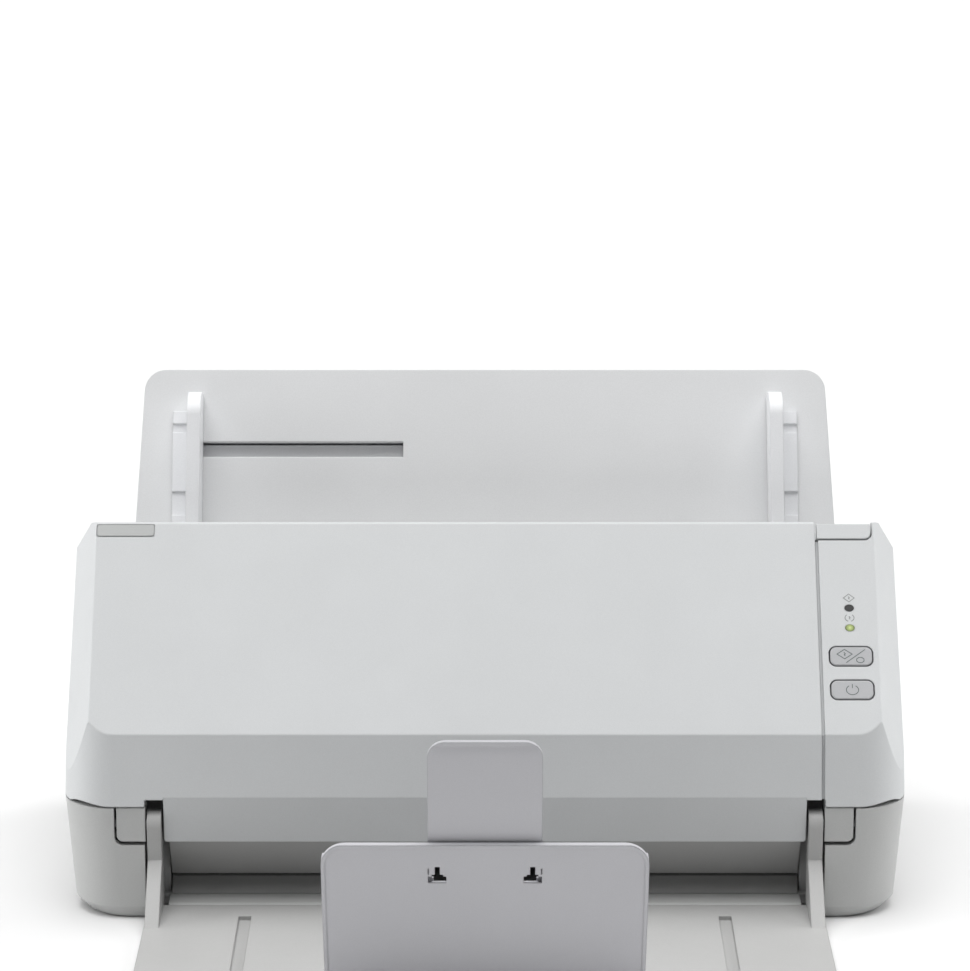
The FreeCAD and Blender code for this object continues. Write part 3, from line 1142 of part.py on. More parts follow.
def stacker_flap():
    """Curved extension flap with side flanges, two windows, rails for the stop and a hinge barrel."""
    sheet = flap_arc(FLAP_IN, FLAP_OUT, FLAP_TOP, FLAP_LOW, -FLAP_HALF, FLAP_HALF)
    below_corner = FLAP_TOP + math.degrees(FLAP_ROUND / FLAP_R)
    flange = both(flap_arc(FLAP_IN - FLAP_FLANGE, FLAP_IN + 0.1, below_corner, FLAP_LOW - 1.6,
                           FLAP_HALF - 1.8, FLAP_HALF))
    flap = sheet.fuse(flange)
    top_z = flap_point(FLAP_R, FLAP_TOP)[1]
    flap = round_top(flap, FLAP_HALF, top_z, FLAP_ROUND, 0)
    bead = flap_arc(FLAP_OUT - 0.1, FLAP_OUT + BEAD_OUT, FLAP_TOP, FLAP_LOW - 1.5, -FLAP_HALF, FLAP_HALF)
    bead = round_top(bead, FLAP_HALF, top_z, FLAP_ROUND, 0)
    inner = round_top(bead, FLAP_HALF - BEAD_W, top_z - BEAD_W, FLAP_ROUND - BEAD_W, 0)
    flap = flap.fuse(bead.cut(inner))
    barrel = rod(FLAP_HINGE, BARREL_R, -FLAP_HALF, FLAP_HALF)
    pins = rod(FLAP_HINGE, FLAP_PIN_R, -FLAP_HALF - 4.8, FLAP_HALF + 4.8)
    rail = [flap_arc(STOP_IN - CLEAR - 1.2, FLAP_IN + 0.1, 197.5, 209.0, STOP_HALF + CLEAR, STOP_HALF + 2.2),
            flap_arc(STOP_IN - CLEAR - 1.2, STOP_IN - CLEAR, 197.5, 209.0, STOP_HALF - 1.8, STOP_HALF + 2.2)]
    flap = fuse_all([flap, barrel, pins] + [both(r) for r in rail])
    thin = flap_arc(FLAP_IN - 0.1, FLAP_OUT - WINDOW_SHEET, FLAP_TOP + 1.9, FLAP_TOP + 5.0, 11.3, 19.6)
    flap = flap.cut(both(thin))
    for window in flap_windows(top_z - WINDOW_DOWN):
        flap = flap.cut(both(window))
    return flap.removeSplitter()


def flap_windows(foot):
    """Small cut-outs round the spring tongue that holds the stop: a bar, its neck, and a slit beside it."""
    return [box(x0, x1, -135, -100, foot + z0, foot + z1)
            for x0, x1, z0, z1 in ((12.5, 18.4, 0.0, 2.5), (13.5, 17.2, 2.4, 3.2), (14.6, 16.2, 3.1, 6.2),
                                   (18.1, 18.5, 3.4, 5.6))]


def stacker_stop():
    """Stop that slides out of the flap's top, with a lip across its end."""
    sheet = flap_arc(STOP_IN, STOP_OUT, STOP_TOP, STOP_LOW, -STOP_HALF, STOP_HALF)
    lip = flap_arc(STOP_IN, STOP_OUT + 0.8, STOP_TOP, STOP_TOP + 0.45, -STOP_HALF, STOP_HALF)
    top_z = flap_point(STOP_OUT, STOP_TOP)[1]
    stop = round_top(sheet.fuse(lip), STOP_HALF, top_z, STOP_ROUND, 0)
    foot = flap_point(FLAP_R, FLAP_TOP)[1] - WINDOW_DOWN
    return stop.cut(both(box(11.8, 17.2, -135, -100, foot - 1.0, foot + 7.2))).removeSplitter()


# ---- paper chute -------------------------------------------------------------------------------------
PITCH = math.pi * TOOTH_MODULE
PINION_R = TOOTH_MODULE * PINION_TEETH / 2
TOOTH_HALF = 0.2 * PITCH
TOOTH_UP = 0.8 * TOOTH_MODULE
TOOTH_DOWN = 1.2 * TOOTH_MODULE
def flat_on_path(points, n0, n1):
    """An outline in (x, u) made solid between two depths behind the path."""
    wire = Part.makePolygon([V(x, u, -n1) for x, u in points + points[:1]])
    return on_path(Part.Face(wire).extrude(V(0, 0, n1 - n0)))


def chute_outline(n0, n1, shrink=0.0):
    low, high = path_u(CHUTE_FOOT_Z), path_u(CHUTE_TOP_Z) - shrink
    wide, narrow = CHUTE_LOW_HALF - shrink, CHUTE_TOP_HALF - shrink
    wire = Part.makePolygon([V(-wide, low, -n1), V(wide, low, -n1), V(narrow, high, -n1),
                             V(-narrow, high, -n1), V(-wide, low, -n1)])
    slab = Part.Face(wire).extrude(V(0, 0, n1 - n0))
    upright = [e for e in slab.Edges if e.BoundBox.ZLength > 0.5 and e.CenterOfMass.y > high - 1]
    return on_path(slab.makeFillet(CHUTE_ROUND, upright))


def rack_place(side):
    """Lower and upper edge (u) of a rack's bar."""
    if side < 0:
        return RACK_U + PINION_R + TOOTH_DOWN, RACK_U + PINION_R + TOOTH_DOWN + RACK_H
    return RACK_U - PINION_R - TOOTH_DOWN - RACK_H, RACK_U - PINION_R - TOOTH_DOWN


def chute_panel():
    """Front panel of the chute, slotted for the side guides, with a rim behind its edge."""
    panel = chute_outline(CHUTE_N, CHUTE_N + CHUTE_T)
    rim = chute_outline(CHUTE_N + CHUTE_T, CHUTE_N + CHUTE_T + 3.0)
    rim = rim.cut(chute_outline(CHUTE_N + CHUTE_T - 1, CHUTE_N + CHUTE_T + 4.0, 2.0))
    low = path_box(-CHUTE_LOW_HALF - 1, CHUTE_LOW_HALF + 1, 0, path_u(CHUTE_FOOT_Z) + 26, 0, 20)
    rim = rim.cut(low)
    axle = on_path(Part.makeCylinder(2.0, 4.8, V(0, RACK_U, -(CHUTE_N + CHUTE_T + 4.8))))
    panel = fuse_all([panel, rim, axle])
    for side in (-1, 1):
        u0, u1 = rack_place(side)
        slot = path_box(POST_X[0] - 0.5, POST_X[1] + GUIDE_TRAVEL + 0.5, u0 - 0.4, u1 + 0.4, 0, CHUTE_T + 1)
        panel = panel.cut(slot if side < 0 else mirrored(slot))
    return panel


def chute_back():
    """Back shell of the chute: covers the racks and holds the extension's rails."""
    u0, u1 = path_u(CHUTE_FOOT_Z), path_u(BACK_TOP_Z)
    front = CHUTE_N + CHUTE_T
    shell = path_box(-BACK_HALF, BACK_HALF, u0, u1, front, BACK_N + BACK_T)
    shell = shell.cut(path_box(-BACK_HALF + 2, BACK_HALF - 2, u0 + 2, u1 - 2, front - 1, BACK_N))
    mouth = path_box(-EXTENSION_HALF - 0.5, EXTENSION_HALF + 0.5, u1 - 3, u1 + 1, EXTENSION_N - 0.4,
                     EXTENSION_N + EXTENSION_T + 0.4)
    rails = []
    near_n = EXTENSION_N - 0.3
    for x0, x1, n0, n1 in ((0.3, 2.3, near_n, BACK_N), (-2.0, 2.3, near_n - 1.0, near_n)):
        rails.append(both(path_box(EXTENSION_HALF + x0, EXTENSION_HALF + x1, u0 + 14, u1 - 2, n0, n1)))
    return fuse_all([shell.cut(mouth)] + rails)


def chute_extension():
    """Flat extension that slides up out of the chute's back."""
    top = path_u(BACK_TOP_Z) + 1.5
    plate = path_box(-EXTENSION_HALF, EXTENSION_HALF, top - EXTENSION_LEN, top, EXTENSION_N,
                     EXTENSION_N + EXTENSION_T)
    grip = path_box(-12, 12, top - 0.8, top + 1.2, EXTENSION_N, EXTENSION_N + EXTENSION_T + 3.0)
    window = path_box(-EXTENSION_HALF + 8, EXTENSION_HALF - 8, top - EXTENSION_LEN + 14, top - 12, 0, 20)
    return fuse_all([plate, grip]).cut(window)


def rack(side):
    """Toothed bar of one side guide, reaching past the pinion."""
    u0, u1 = rack_place(side)
    start = POST_X[0]
    bar = path_box(start, RACK_END, u0, u1, RACK_N, RACK_N + RACK_T)
    pitch_u = RACK_U + PINION_R
    teeth = []
    first = math.ceil((start + 14) / PITCH)
    last = math.floor(RACK_END / PITCH)
    for k in range(first, last):
        x = (k + 0.5) * PITCH
        lean = math.tan(math.radians(TOOTH_LEAN))
        tip, root = TOOTH_HALF - TOOTH_UP * lean, TOOTH_HALF + TOOTH_DOWN * lean
        up = pitch_u + TOOTH_DOWN + 0.2
        outline = [(x - tip, pitch_u - TOOTH_UP), (x + tip, pitch_u - TOOTH_UP),
                   (x + root, up), (x - root, up)]
        teeth.append(flat_on_path(outline, RACK_N, RACK_N + RACK_T))
    if side > 0:
        turned = [bar_turn(t) for t in teeth]
        return fuse_all([mirrored(bar)] + turned)
    return fuse_all([bar] + teeth)


def bar_turn(shape):
    """A tooth of the upper rack turned half round the pinion's axis."""
    y, z = PATH_FOOT_Y + RACK_U * PATH_UP[0], RACK_U * PATH_UP[1]
    turned = shape.copy()
    turned.rotate(V(0, y, z), V(0, -PATH_UP[1], PATH_UP[0]), 180)
    return turned


def side_guide(side):
    """Side guide: fin that the paper's edge runs along, base flange, post through the chute, and rack."""
    u0, u1 = path_u(FIN_FOOT_Z), path_u(FIN_TOP_Z)
    face = CHUTE_N - CLEAR
    fin = path_box(-FIN_IN - FIN_T, -FIN_IN, u0, u1, -FIN_OUT, face)
    fin = fin.makeFillet(FIN_TOP_ROUND, front_corners(fin)[-1:])
    fin = fin.makeFillet(FIN_FOOT_ROUND, front_corners(fin)[:1])
    flange = path_box(-FLANGE_OUT, -FIN_IN - FIN_T + 0.5, u0 + 3, u1 - 6, face - 1.6, face)
    slots = [path_box(-FLANGE_OUT - 1, -FIN_IN - FIN_T - 1.0, path_u(a), path_u(b), face - 3, face - 0.6)
             for a, b in ((119.1, 127.2), (147.3, 150.3))]
    lighten = path_box(-FIN_IN - FIN_T + 1.6, -FIN_IN - 1.6, u0 + 2, u1 - 2, -FIN_OUT + 8, face + 1)
    r0, r1 = rack_place(side)
    post = path_box(POST_X[0], POST_X[1], r0, r1, face - 1.0, RACK_N + 0.1)
    block = fin.cut(lighten).fuse(flange)
    for slot in slots:
        block = block.cut(slot)
    if side > 0:
        return fuse_all([mirrored(block), mirrored(post), rack(1)])
    return fuse_all([block, post, rack(-1)])


def front_corners(fin):
    """Edges of a fin that run along X on its front face, from its foot to its top."""
    def depth(edge):
        y, z = edge.CenterOfMass.y - PATH_FOOT_Y, edge.CenterOfMass.z
        return y * PATH_N[0] + z * PATH_N[1]
    corners = [e for e in fin.Edges if e.BoundBox.XLength > FIN_T - 0.1 and depth(e) < -FIN_OUT + 0.1]
    return sorted(corners, key=lambda e: e.CenterOfMass.z)


def guide_pinion():
    """Small gear between the two racks, so that both side guides move together."""
    teeth = []
    lean = math.tan(math.radians(TOOTH_LEAN))
    root = PINION_R - TOOTH_DOWN
    for k in range(PINION_TEETH):
        a = 2 * math.pi * k / PINION_TEETH + math.pi / 2
        outline = [(root - 0.5, TOOTH_HALF + 0.35), (PINION_R, TOOTH_HALF),
                   (PINION_R + TOOTH_UP, TOOTH_HALF - TOOTH_UP * lean * 1.2)]
        points = [(r, h) for r, h in outline] + [(r, -h) for r, h in reversed(outline)]
        placed = [(r * math.cos(a) - h * math.sin(a), RACK_U + r * math.sin(a) + h * math.cos(a))
                  for r, h in points]
        teeth.append(flat_on_path(placed, RACK_N, RACK_N + RACK_T))
    hub = on_path(Part.makeCylinder(root, RACK_T, V(0, RACK_U, -(RACK_N + RACK_T))))
    bore = on_path(Part.makeCylinder(2.0 + RUNNING, RACK_T + 4, V(0, RACK_U, -(RACK_N + RACK_T + 2))))
    return fuse_all([hub] + teeth).cut(bore)


# ---- the pieces, by node name ------------------------------------------------------------------------
def brake_shaft():
    return rod(BRAKE_AT, BRAKE_SHAFT_R, -BRAKE_BLOCK_X, BRAKE_BLOCK_X)


def pinch_shaft(centre):
    return rod(centre, PINCH_SHAFT_R, -GUIDE_HALF, GUIDE_HALF)


PIECES = {
    "lower_case": lower_case,
    "rear_cover": rear_cover,
    "guide_plate": guide_plate,
    "rear_scan_glass": rear_scan_glass,
    "rear_image_sensor": lambda: sensor_bar(GUIDE_T + 0.1, GUIDE_T + SENSOR_D),
    "side_frame_left": lambda: side_frame(-1),
    "side_frame_right": lambda: side_frame(1),
    "shaft_bushes": shaft_bushes,
    "drive_motor": drive_motor,
    "motor_pulley": motor_pulley,
    "drive_belt": drive_belt,
    "eject_belt": eject_belt,
    "pick_shaft": lambda: driven_shaft(PICK_AT, PICK[2], DRIVE_BELT_X),
    "pick_tyres": lambda: tyres(PICK_AT, PICK[1], PICK[2], PICK_X, PICK_W),
    "pick_pulley": lambda: pulley(PICK_AT, PICK_PULLEY_R, PICK[2], DRIVE_BELT_X),
    "feed_shaft": lambda: driven_shaft(FEED_AT, FEED[2], DRIVE_BELT_X),
    "feed_tyres": lambda: tyres(FEED_AT, FEED[1], FEED[2], FEED_X, FEED_W),
    "feed_pulley": lambda: pulley(FEED_AT, FEED_PULLEY_R, FEED[2], DRIVE_BELT_X),
    "eject_shaft": lambda: driven_shaft(EJECT_AT, EJECT_SHAFT_R, EJECT_BELT_X),
    "eject_tyres": lambda: tyres(EJECT_AT, EJECT_R, EJECT_SHAFT_R, FEED_X, FEED_W),
    "eject_pulley": lambda: pulley(EJECT_AT, EJECT_PULLEY_R, EJECT_SHAFT_R, EJECT_BELT_X),
    "paper_lever": paper_lever,
    "lever_bracket": lever_bracket,
    "main_board": main_board,
    "power_inlet": power_inlet,
    "usb_socket": usb_socket,
    "network_socket": network_socket,
    "case_screws": case_screws,
    "feet": feet,
    "hinge_pins": hinge_pins,
    "top_cover": top_cover,
    "operator_panel": operator_panel,
    "feeder_frame": feeder_frame,
    "hinge_arm_left": hinge_arm_left,
    "hinge_arm_right": hinge_arm_right,
    "front_scan_glass": front_scan_glass,
    "front_image_sensor": lambda: sensor_bar(-PAPER_GAP - GLASS_T - SENSOR_D, -PAPER_GAP - FRAME_WALL - 0.1),
    "panel_board": panel_board,
    "status_lens": lambda: lens(STATUS_S),
    "ready_lens": lambda: lens(READY_S),
    "scan_button": lambda: button(SCAN_S),
    "power_button": lambda: button(POWER_S),
    "release_tab": release_tab,
    "latch_shaft": latch_shaft,
    "latch_spring": latch_spring,
    "brake_shaft": brake_shaft,
    "brake_tyre": lambda: tyres(BRAKE_AT, BRAKE_R, BRAKE_SHAFT_R, (0.0,), BRAKE_W),
    "feed_pinch_shaft": lambda: pinch_shaft(FEED_PINCH_AT),
    "feed_pinch_tyres": lambda: tyres(FEED_PINCH_AT, FEED_PINCH_R, PINCH_SHAFT_R, FEED_X, FEED_W),
    "eject_pinch_shaft": lambda: pinch_shaft(EJECT_PINCH_AT),
    "eject_pinch_tyres": lambda: tyres(EJECT_PINCH_AT, EJECT_PINCH_R, PINCH_SHAFT_R, FEED_X, FEED_W),
    "stacker_tray": stacker_tray,
    "stacker_flap": stacker_flap,
    "stacker_stop": stacker_stop,
    "chute_panel": chute_panel,
    "chute_back": chute_back,
    "chute_extension": chute_extension,
    "side_guide_left": lambda: side_guide(-1),
    "side_guide_right": lambda: side_guide(1),
    "guide_pinion": guide_pinion,
}

MIDDLE_Y = 9.1         # middle of the unfolded scanner behind the body's front plane

if __name__ == "__main__":
    os.makedirs("parts", exist_ok=True)
    for name, make in PIECES.items():
        shape = make().translated(V(0, -MIDDLE_Y, 0))
        shape.exportStep("parts/%s.step" % name)
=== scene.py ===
import json
import math

import bmesh
import bpy
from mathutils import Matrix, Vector


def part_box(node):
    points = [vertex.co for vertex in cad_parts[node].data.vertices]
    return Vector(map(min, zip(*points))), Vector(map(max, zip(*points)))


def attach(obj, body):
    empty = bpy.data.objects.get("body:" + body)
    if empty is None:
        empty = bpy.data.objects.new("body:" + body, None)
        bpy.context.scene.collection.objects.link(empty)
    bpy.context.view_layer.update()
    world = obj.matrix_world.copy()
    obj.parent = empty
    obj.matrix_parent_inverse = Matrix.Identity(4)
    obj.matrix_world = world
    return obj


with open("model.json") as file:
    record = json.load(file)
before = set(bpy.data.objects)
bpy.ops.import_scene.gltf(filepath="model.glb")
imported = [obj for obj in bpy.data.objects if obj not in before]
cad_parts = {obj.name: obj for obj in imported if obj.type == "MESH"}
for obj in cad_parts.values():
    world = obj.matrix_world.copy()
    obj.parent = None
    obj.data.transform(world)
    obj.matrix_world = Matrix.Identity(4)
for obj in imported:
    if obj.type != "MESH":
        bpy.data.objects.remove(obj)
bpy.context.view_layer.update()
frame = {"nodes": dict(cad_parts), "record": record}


def linear(hex_code, alpha=1.0):
    """An sRGB hex colour as linear RGBA."""
    parts = [int(hex_code[i:i + 2], 16) / 255 for i in (1, 3, 5)]
    return [p / 12.92 if p <= 0.04045 else ((p + 0.055) / 1.055) ** 2.4 for p in parts] + [alpha]


def add_node(tree, kind, sockets, **settings):
    """Adds one shader node with its settings. A socket value that is an output is linked."""
    node = tree.nodes.new(kind)
    for name, value in settings.items():
        setattr(node, name, value)
    for name, value in sockets.items():
        if isinstance(value, bpy.types.NodeSocket):
            tree.links.new(value, node.inputs[name])
        else:
            node.inputs[name].default_value = value
    return node


def new_material(name):
    """An empty material, its node tree, and the place on the object in metres."""
    material = bpy.data.materials.new(name)
    material.use_nodes = True
    tree = material.node_tree
    tree.nodes.clear()
    place = add_node(tree, "ShaderNodeTexCoord", {}).outputs["Object"]
    return material, tree, place


FLOW_MM = 45               # size of the patches of shade that the plastic's flow leaves
HANDLED_MM = 9             # size of the patches that handling has polished
HANDLED = 0.06             # how far handling moves the roughness either way


def moulded(name, colour, grain_mm, grain_deep_mm, roughness, edge_mm, ior=1.53, mottle=0.02):
    """Moulded plastic or rubber: tool grain, edges rounded by the tool, uneven shade and handled gloss."""
    material, tree, place = new_material(name)
    grain = add_node(tree, "ShaderNodeTexNoise", {"Vector": place, "Scale": 1000 / grain_mm,
                                                 "Detail": 2.0, "Roughness": 0.6})
    flow = add_node(tree, "ShaderNodeTexNoise", {"Vector": place, "Scale": 1000 / FLOW_MM, "Detail": 3.0})
    handling = add_node(tree, "ShaderNodeTexNoise", {"Vector": place, "Scale": 1000 / HANDLED_MM,
                                                     "Detail": 5.0, "Roughness": 0.65})
    shade = add_node(tree, "ShaderNodeMapRange", {"Value": flow.outputs["Fac"], "From Min": 0.3,
                                                  "From Max": 0.7, "To Min": 1 - mottle,
                                                  "To Max": 1 + mottle})
    speck = add_node(tree, "ShaderNodeMapRange", {"Value": grain.outputs["Fac"], "From Min": 0.3,
                                                  "From Max": 0.7, "To Min": 0.97, "To Max": 1.02})
    both_shades = add_node(tree, "ShaderNodeMath", {0: shade.outputs["Result"],
                                                    1: speck.outputs["Result"]}, operation="MULTIPLY")
    tint = add_node(tree, "ShaderNodeVectorMath", {0: linear(colour)[:3],
                                                   "Scale": both_shades.outputs["Value"]},
                    operation="SCALE")
    gloss = add_node(tree, "ShaderNodeMapRange", {"Value": handling.outputs["Fac"], "From Min": 0.25,
                                                  "From Max": 0.75, "To Min": roughness - HANDLED,
                                                  "To Max": roughness + HANDLED})
    edge = add_node(tree, "ShaderNodeBevel", {"Radius": edge_mm / 1000}, samples=4)
    skin = add_node(tree, "ShaderNodeBump", {"Height": grain.outputs["Fac"], "Strength": 0.6,
                                             "Distance": grain_deep_mm / 1000,
                                             "Normal": edge.outputs["Normal"]})
    shader = add_node(tree, "ShaderNodeBsdfPrincipled", {"Base Color": tint.outputs["Vector"],
                                                         "IOR": ior, "Roughness": gloss.outputs["Result"],
                                                         "Normal": skin.outputs["Normal"]})
    add_node(tree, "ShaderNodeOutputMaterial", {"Surface": shader.outputs["BSDF"]})
    return material


def finish(material, *names):
    """Puts a finish on CAD nodes."""
    for name in names:
        for slot in frame["nodes"][name].material_slots:
            slot.material = material


case_abs = moulded("case_abs_light_grey_eroded", "#b7b8b7", 0.45, 0.010, 0.52, 0.5)
finish(case_abs, "lower_case", "rear_cover", "hinge_arm_left", "hinge_arm_right")

# ---- Feet ----------------------------------------------------------------------------------------
# Four round pads of dark grey thermoplastic rubber, pressed into the floor of the case. Matt, with
# a coarse moulded skin that has picked up a little dust.
foot_rubber = moulded("foot_rubber_dark_grey_moulded", "#3c3c3d", 0.6, 0.02, 0.82, 0.4, ior=1.5, mottle=0.08)
finish(foot_rubber, "feet")

# ---- Side frames, motor can and lever bracket ----------------------------------------------------
# Pressed steel sheet, zinc plated after pressing, screwed to the case floor. The plating gives a
# pale blue-grey metal with soft cloudy patches and fine marks along the way that it was rolled,
# drawn about three times as wide as they are.


STRETCHED = 0.02           # a mark is 1 / 0.02 times as long as it is wide
MARK_DEEP = 0.000004
METAL_EDGE = 0.00015       # radius that deburring leaves


def rolled_metal(name, colour, dull, mark_mm, along, cloud_mm=14.0):
    """Bare or plated metal: fine marks stretched along one axis, over cloudy differences in gloss."""
    material, tree, place = new_material(name)
    stretch = [1.0, 1.0, 1.0]
    stretch[along] = STRETCHED
    laid = add_node(tree, "ShaderNodeVectorMath", {0: place, 1: stretch}, operation="MULTIPLY")
    marks = add_node(tree, "ShaderNodeTexNoise", {"Vector": laid.outputs["Vector"],
                                                 "Scale": 1000 / mark_mm, "Detail": 3.0})
    clouds = add_node(tree, "ShaderNodeTexNoise", {"Vector": place, "Scale": 1000 / cloud_mm, "Detail": 4.0})
    shade = add_node(tree, "ShaderNodeMapRange", {"Value": clouds.outputs["Fac"], "From Min": 0.3,
                                                  "From Max": 0.7, "To Min": 0.9, "To Max": 1.04})
    tint = add_node(tree, "ShaderNodeVectorMath", {0: linear(colour)[:3], "Scale": shade.outputs["Result"]},
                    operation="SCALE")
    gloss = add_node(tree, "ShaderNodeMapRange", {"Value": marks.outputs["Fac"], "From Min": 0.3,
                                                  "From Max": 0.7, "To Min": dull - 0.08,
                                                  "To Max": dull + 0.1})
    edge = add_node(tree, "ShaderNodeBevel", {"Radius": METAL_EDGE}, samples=4)
    skin = add_node(tree, "ShaderNodeBump", {"Height": marks.outputs["Fac"], "Distance": MARK_DEEP,
                                             "Normal": edge.outputs["Normal"]})
    shader = add_node(tree, "ShaderNodeBsdfPrincipled", {"Base Color": tint.outputs["Vector"],
                                                         "Metallic": 1.0,
                                                         "Roughness": gloss.outputs["Result"],
                                                         "Normal": skin.outputs["Normal"]})
    add_node(tree, "ShaderNodeOutputMaterial", {"Surface": shader.outputs["BSDF"]})
    return material


ALONG_Y, ALONG_Z = 1, 2
zinc_plate = rolled_metal("steel_sheet_zinc_plated", "#b4b9be", 0.38, 0.35, ALONG_Y)
finish(zinc_plate, "side_frame_left", "side_frame_right", "lever_bracket", "drive_motor")

# ---- Shafts, hinge pins, latch rod and screws ----------------------------------------------------
# Free-cutting steel rod, ground to size and left bare with a film of oil, and zinc plated screws.
# Grinding leaves rings round the rod that are too fine to tell apart, so they show as a soft sheen.
ground_steel = rolled_metal("steel_rod_ground", "#a9aaad", 0.26, 0.3, ALONG_Y, cloud_mm=6.0)
finish(ground_steel, "pick_shaft", "feed_shaft", "eject_shaft", "brake_shaft", "feed_pinch_shaft",
       "eject_pinch_shaft", "latch_shaft", "case_screws")
pin_steel = rolled_metal("steel_pin_darkened", "#6f7072", 0.34, 0.3, ALONG_Z, cloud_mm=3.0)
finish(pin_steel, "hinge_pins")
spring_steel = rolled_metal("steel_wire_spring_wound", "#8f9194", 0.3, 0.9, ALONG_Y, cloud_mm=4.0)
finish(spring_steel, "latch_spring")

# ---- Bushes, pulleys, pinch rollers and pinion ---------------------------------------------------
# Natural acetal, moulded and left unpainted because it slides well on steel. Milky off-white with
# a slight waxy shine.
acetal = moulded("acetal_natural_moulded", "#e4e2da", 0.8, 0.003, 0.34, 0.25, ior=1.48)
finish(acetal, "shaft_bushes", "motor_pulley", "pick_pulley", "feed_pulley", "eject_pulley",
       "feed_pinch_tyres", "eject_pinch_tyres", "guide_pinion")

# ---- Feed tyres ----------------------------------------------------------------------------------
# Dark EPDM rubber rings, ground on their shafts. Grinding leaves a velvety surface of fine lines
# round the tyre, and paper dust greys it.
tyre_rubber = moulded("tyre_epdm_rubber_ground", "#3a3b3f", 0.35, 0.03, 0.88, 0.3, ior=1.5, mottle=0.1)
finish(tyre_rubber, "pick_tyres", "feed_tyres", "eject_tyres", "brake_tyre")

# ---- Drive belts ---------------------------------------------------------------------------------
# Black neoprene with a nylon face, moulded as a loop. A touch shinier than the tyres.
belt_rubber = moulded("belt_neoprene_black_moulded", "#1d1d1f", 0.5, 0.015, 0.62, 0.2, ior=1.52, mottle=0.05)
finish(belt_rubber, "drive_belt", "eject_belt")

# ---- Main board and panel board ------------------------------------------------------------------
# Glass epoxy laminate under green solder mask, with black epoxy packages soldered on top of the main
# board. The mask is glossy and slightly wavy over its tracks.


TRACK_CELL_MM = 6.0
MASK_COLOUR, TRACK_COLOUR, GAP_COLOUR = "#276039", "#2c6b43", "#174a2b"
MASK_GLOSS = 0.28
PACKAGE_COLOUR, PACKAGE_GLOSS = "#1b1b1c", 0.55


def solder_mask(name, package_foot=None):
    """Green board. Above a height in metres, where it has one, are packages of duller black epoxy."""
    material, tree, place = new_material(name)
    tracks = add_node(tree, "ShaderNodeTexBrick", {"Vector": place, "Scale": 1000 / TRACK_CELL_MM,
                                                   "Color1": linear(MASK_COLOUR),
                                                   "Color2": linear(TRACK_COLOUR),
                                                   "Mortar": linear(GAP_COLOUR), "Mortar Size": 0.03})
    skin, gloss = tracks.outputs["Color"], MASK_GLOSS
    if package_foot is not None:
        height = add_node(tree, "ShaderNodeSeparateXYZ", {"Vector": place}).outputs["Z"]
        is_package = add_node(tree, "ShaderNodeMath", {0: height, 1: package_foot},
                              operation="GREATER_THAN").outputs["Value"]
        skin = add_node(tree, "ShaderNodeMix", {"Factor": is_package, "A": tracks.outputs["Color"],
                                                "B": linear(PACKAGE_COLOUR)},
                        data_type="RGBA").outputs["Result"]
        gloss = add_node(tree, "ShaderNodeMapRange", {"Value": is_package, "To Min": MASK_GLOSS,
                                                      "To Max": PACKAGE_GLOSS}).outputs["Result"]
    bump = add_node(tree, "ShaderNodeBump", {"Height": tracks.outputs["Fac"], "Distance": 0.00003})
    shader = add_node(tree, "ShaderNodeBsdfPrincipled", {"Base Color": skin, "IOR": 1.55,
                                                         "Roughness": gloss,
                                                         "Normal": bump.outputs["Normal"]})
    add_node(tree, "ShaderNodeOutputMaterial", {"Surface": shader.outputs["BSDF"]})
    return material


LAMINATE = 0.0016          # thickness of the board
PACKAGE_RISE = 0.0003      # packages start this far above the laminate's own top
main_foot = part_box("main_board")[0][2]
finish(solder_mask("board_epoxy_green_mask", main_foot + LAMINATE + PACKAGE_RISE), "main_board")
finish(solder_mask("panel_board_epoxy_green_mask"), "panel_board")

# ---- Sockets at the back -------------------------------------------------------------------------
# Stamped nickel-plated steel shells round the data sockets, and a glossy black PBT power inlet with a
# steel centre pin.
nickel_shell = rolled_metal("steel_shell_nickel_plated", "#c6c5c0", 0.24, 0.25, ALONG_Z, cloud_mm=5.0)
finish(nickel_shell, "usb_socket", "network_socket")
inlet_pbt = moulded("inlet_pbt_black_moulded", "#19191a", 0.5, 0.002, 0.3, 0.2, ior=1.57)
finish(inlet_pbt, "power_inlet")

# ---- Image sensors and scan windows --------------------------------------------------------------
# Black glass-filled housings with a long lens slot, behind strips of polished float glass that sheets
# run across. The glass has a faint green edge and a few smears.
sensor_pps = moulded("sensor_housing_black_glass_filled", "#202022", 0.5, 0.008, 0.6, 0.25, ior=1.6)
finish(sensor_pps, "rear_image_sensor", "front_image_sensor")


def float_glass(name, colour):
    """Polished glass with slight smears."""
    material, tree, place = new_material(name)
    smears = add_node(tree, "ShaderNodeTexNoise", {"Vector": place, "Scale": 1000 / 30, "Detail": 6.0})
    gloss = add_node(tree, "ShaderNodeMapRange", {"Value": smears.outputs["Fac"], "From Min": 0.4,
                                                  "From Max": 0.75, "To Min": 0.02, "To Max": 0.12})
    shader = add_node(tree, "ShaderNodeBsdfPrincipled", {"Base Color": linear(colour), "IOR": 1.52,
                                                         "Transmission Weight": 1.0,
                                                         "Roughness": gloss.outputs["Result"]})
    add_node(tree, "ShaderNodeOutputMaterial", {"Surface": shader.outputs["BSDF"]})
    return material


finish(float_glass("scan_window_float_glass", "#e4f0ea"), "rear_scan_glass", "front_scan_glass")

# ---- Paper lever ---------------------------------------------------------------------------------
# Black acetal, moulded. It is light, so that one sheet can push it aside.
lever_acetal = moulded("lever_acetal_black_moulded", "#222224", 0.6, 0.004, 0.42, 0.3, ior=1.48)
finish(lever_acetal, "paper_lever")

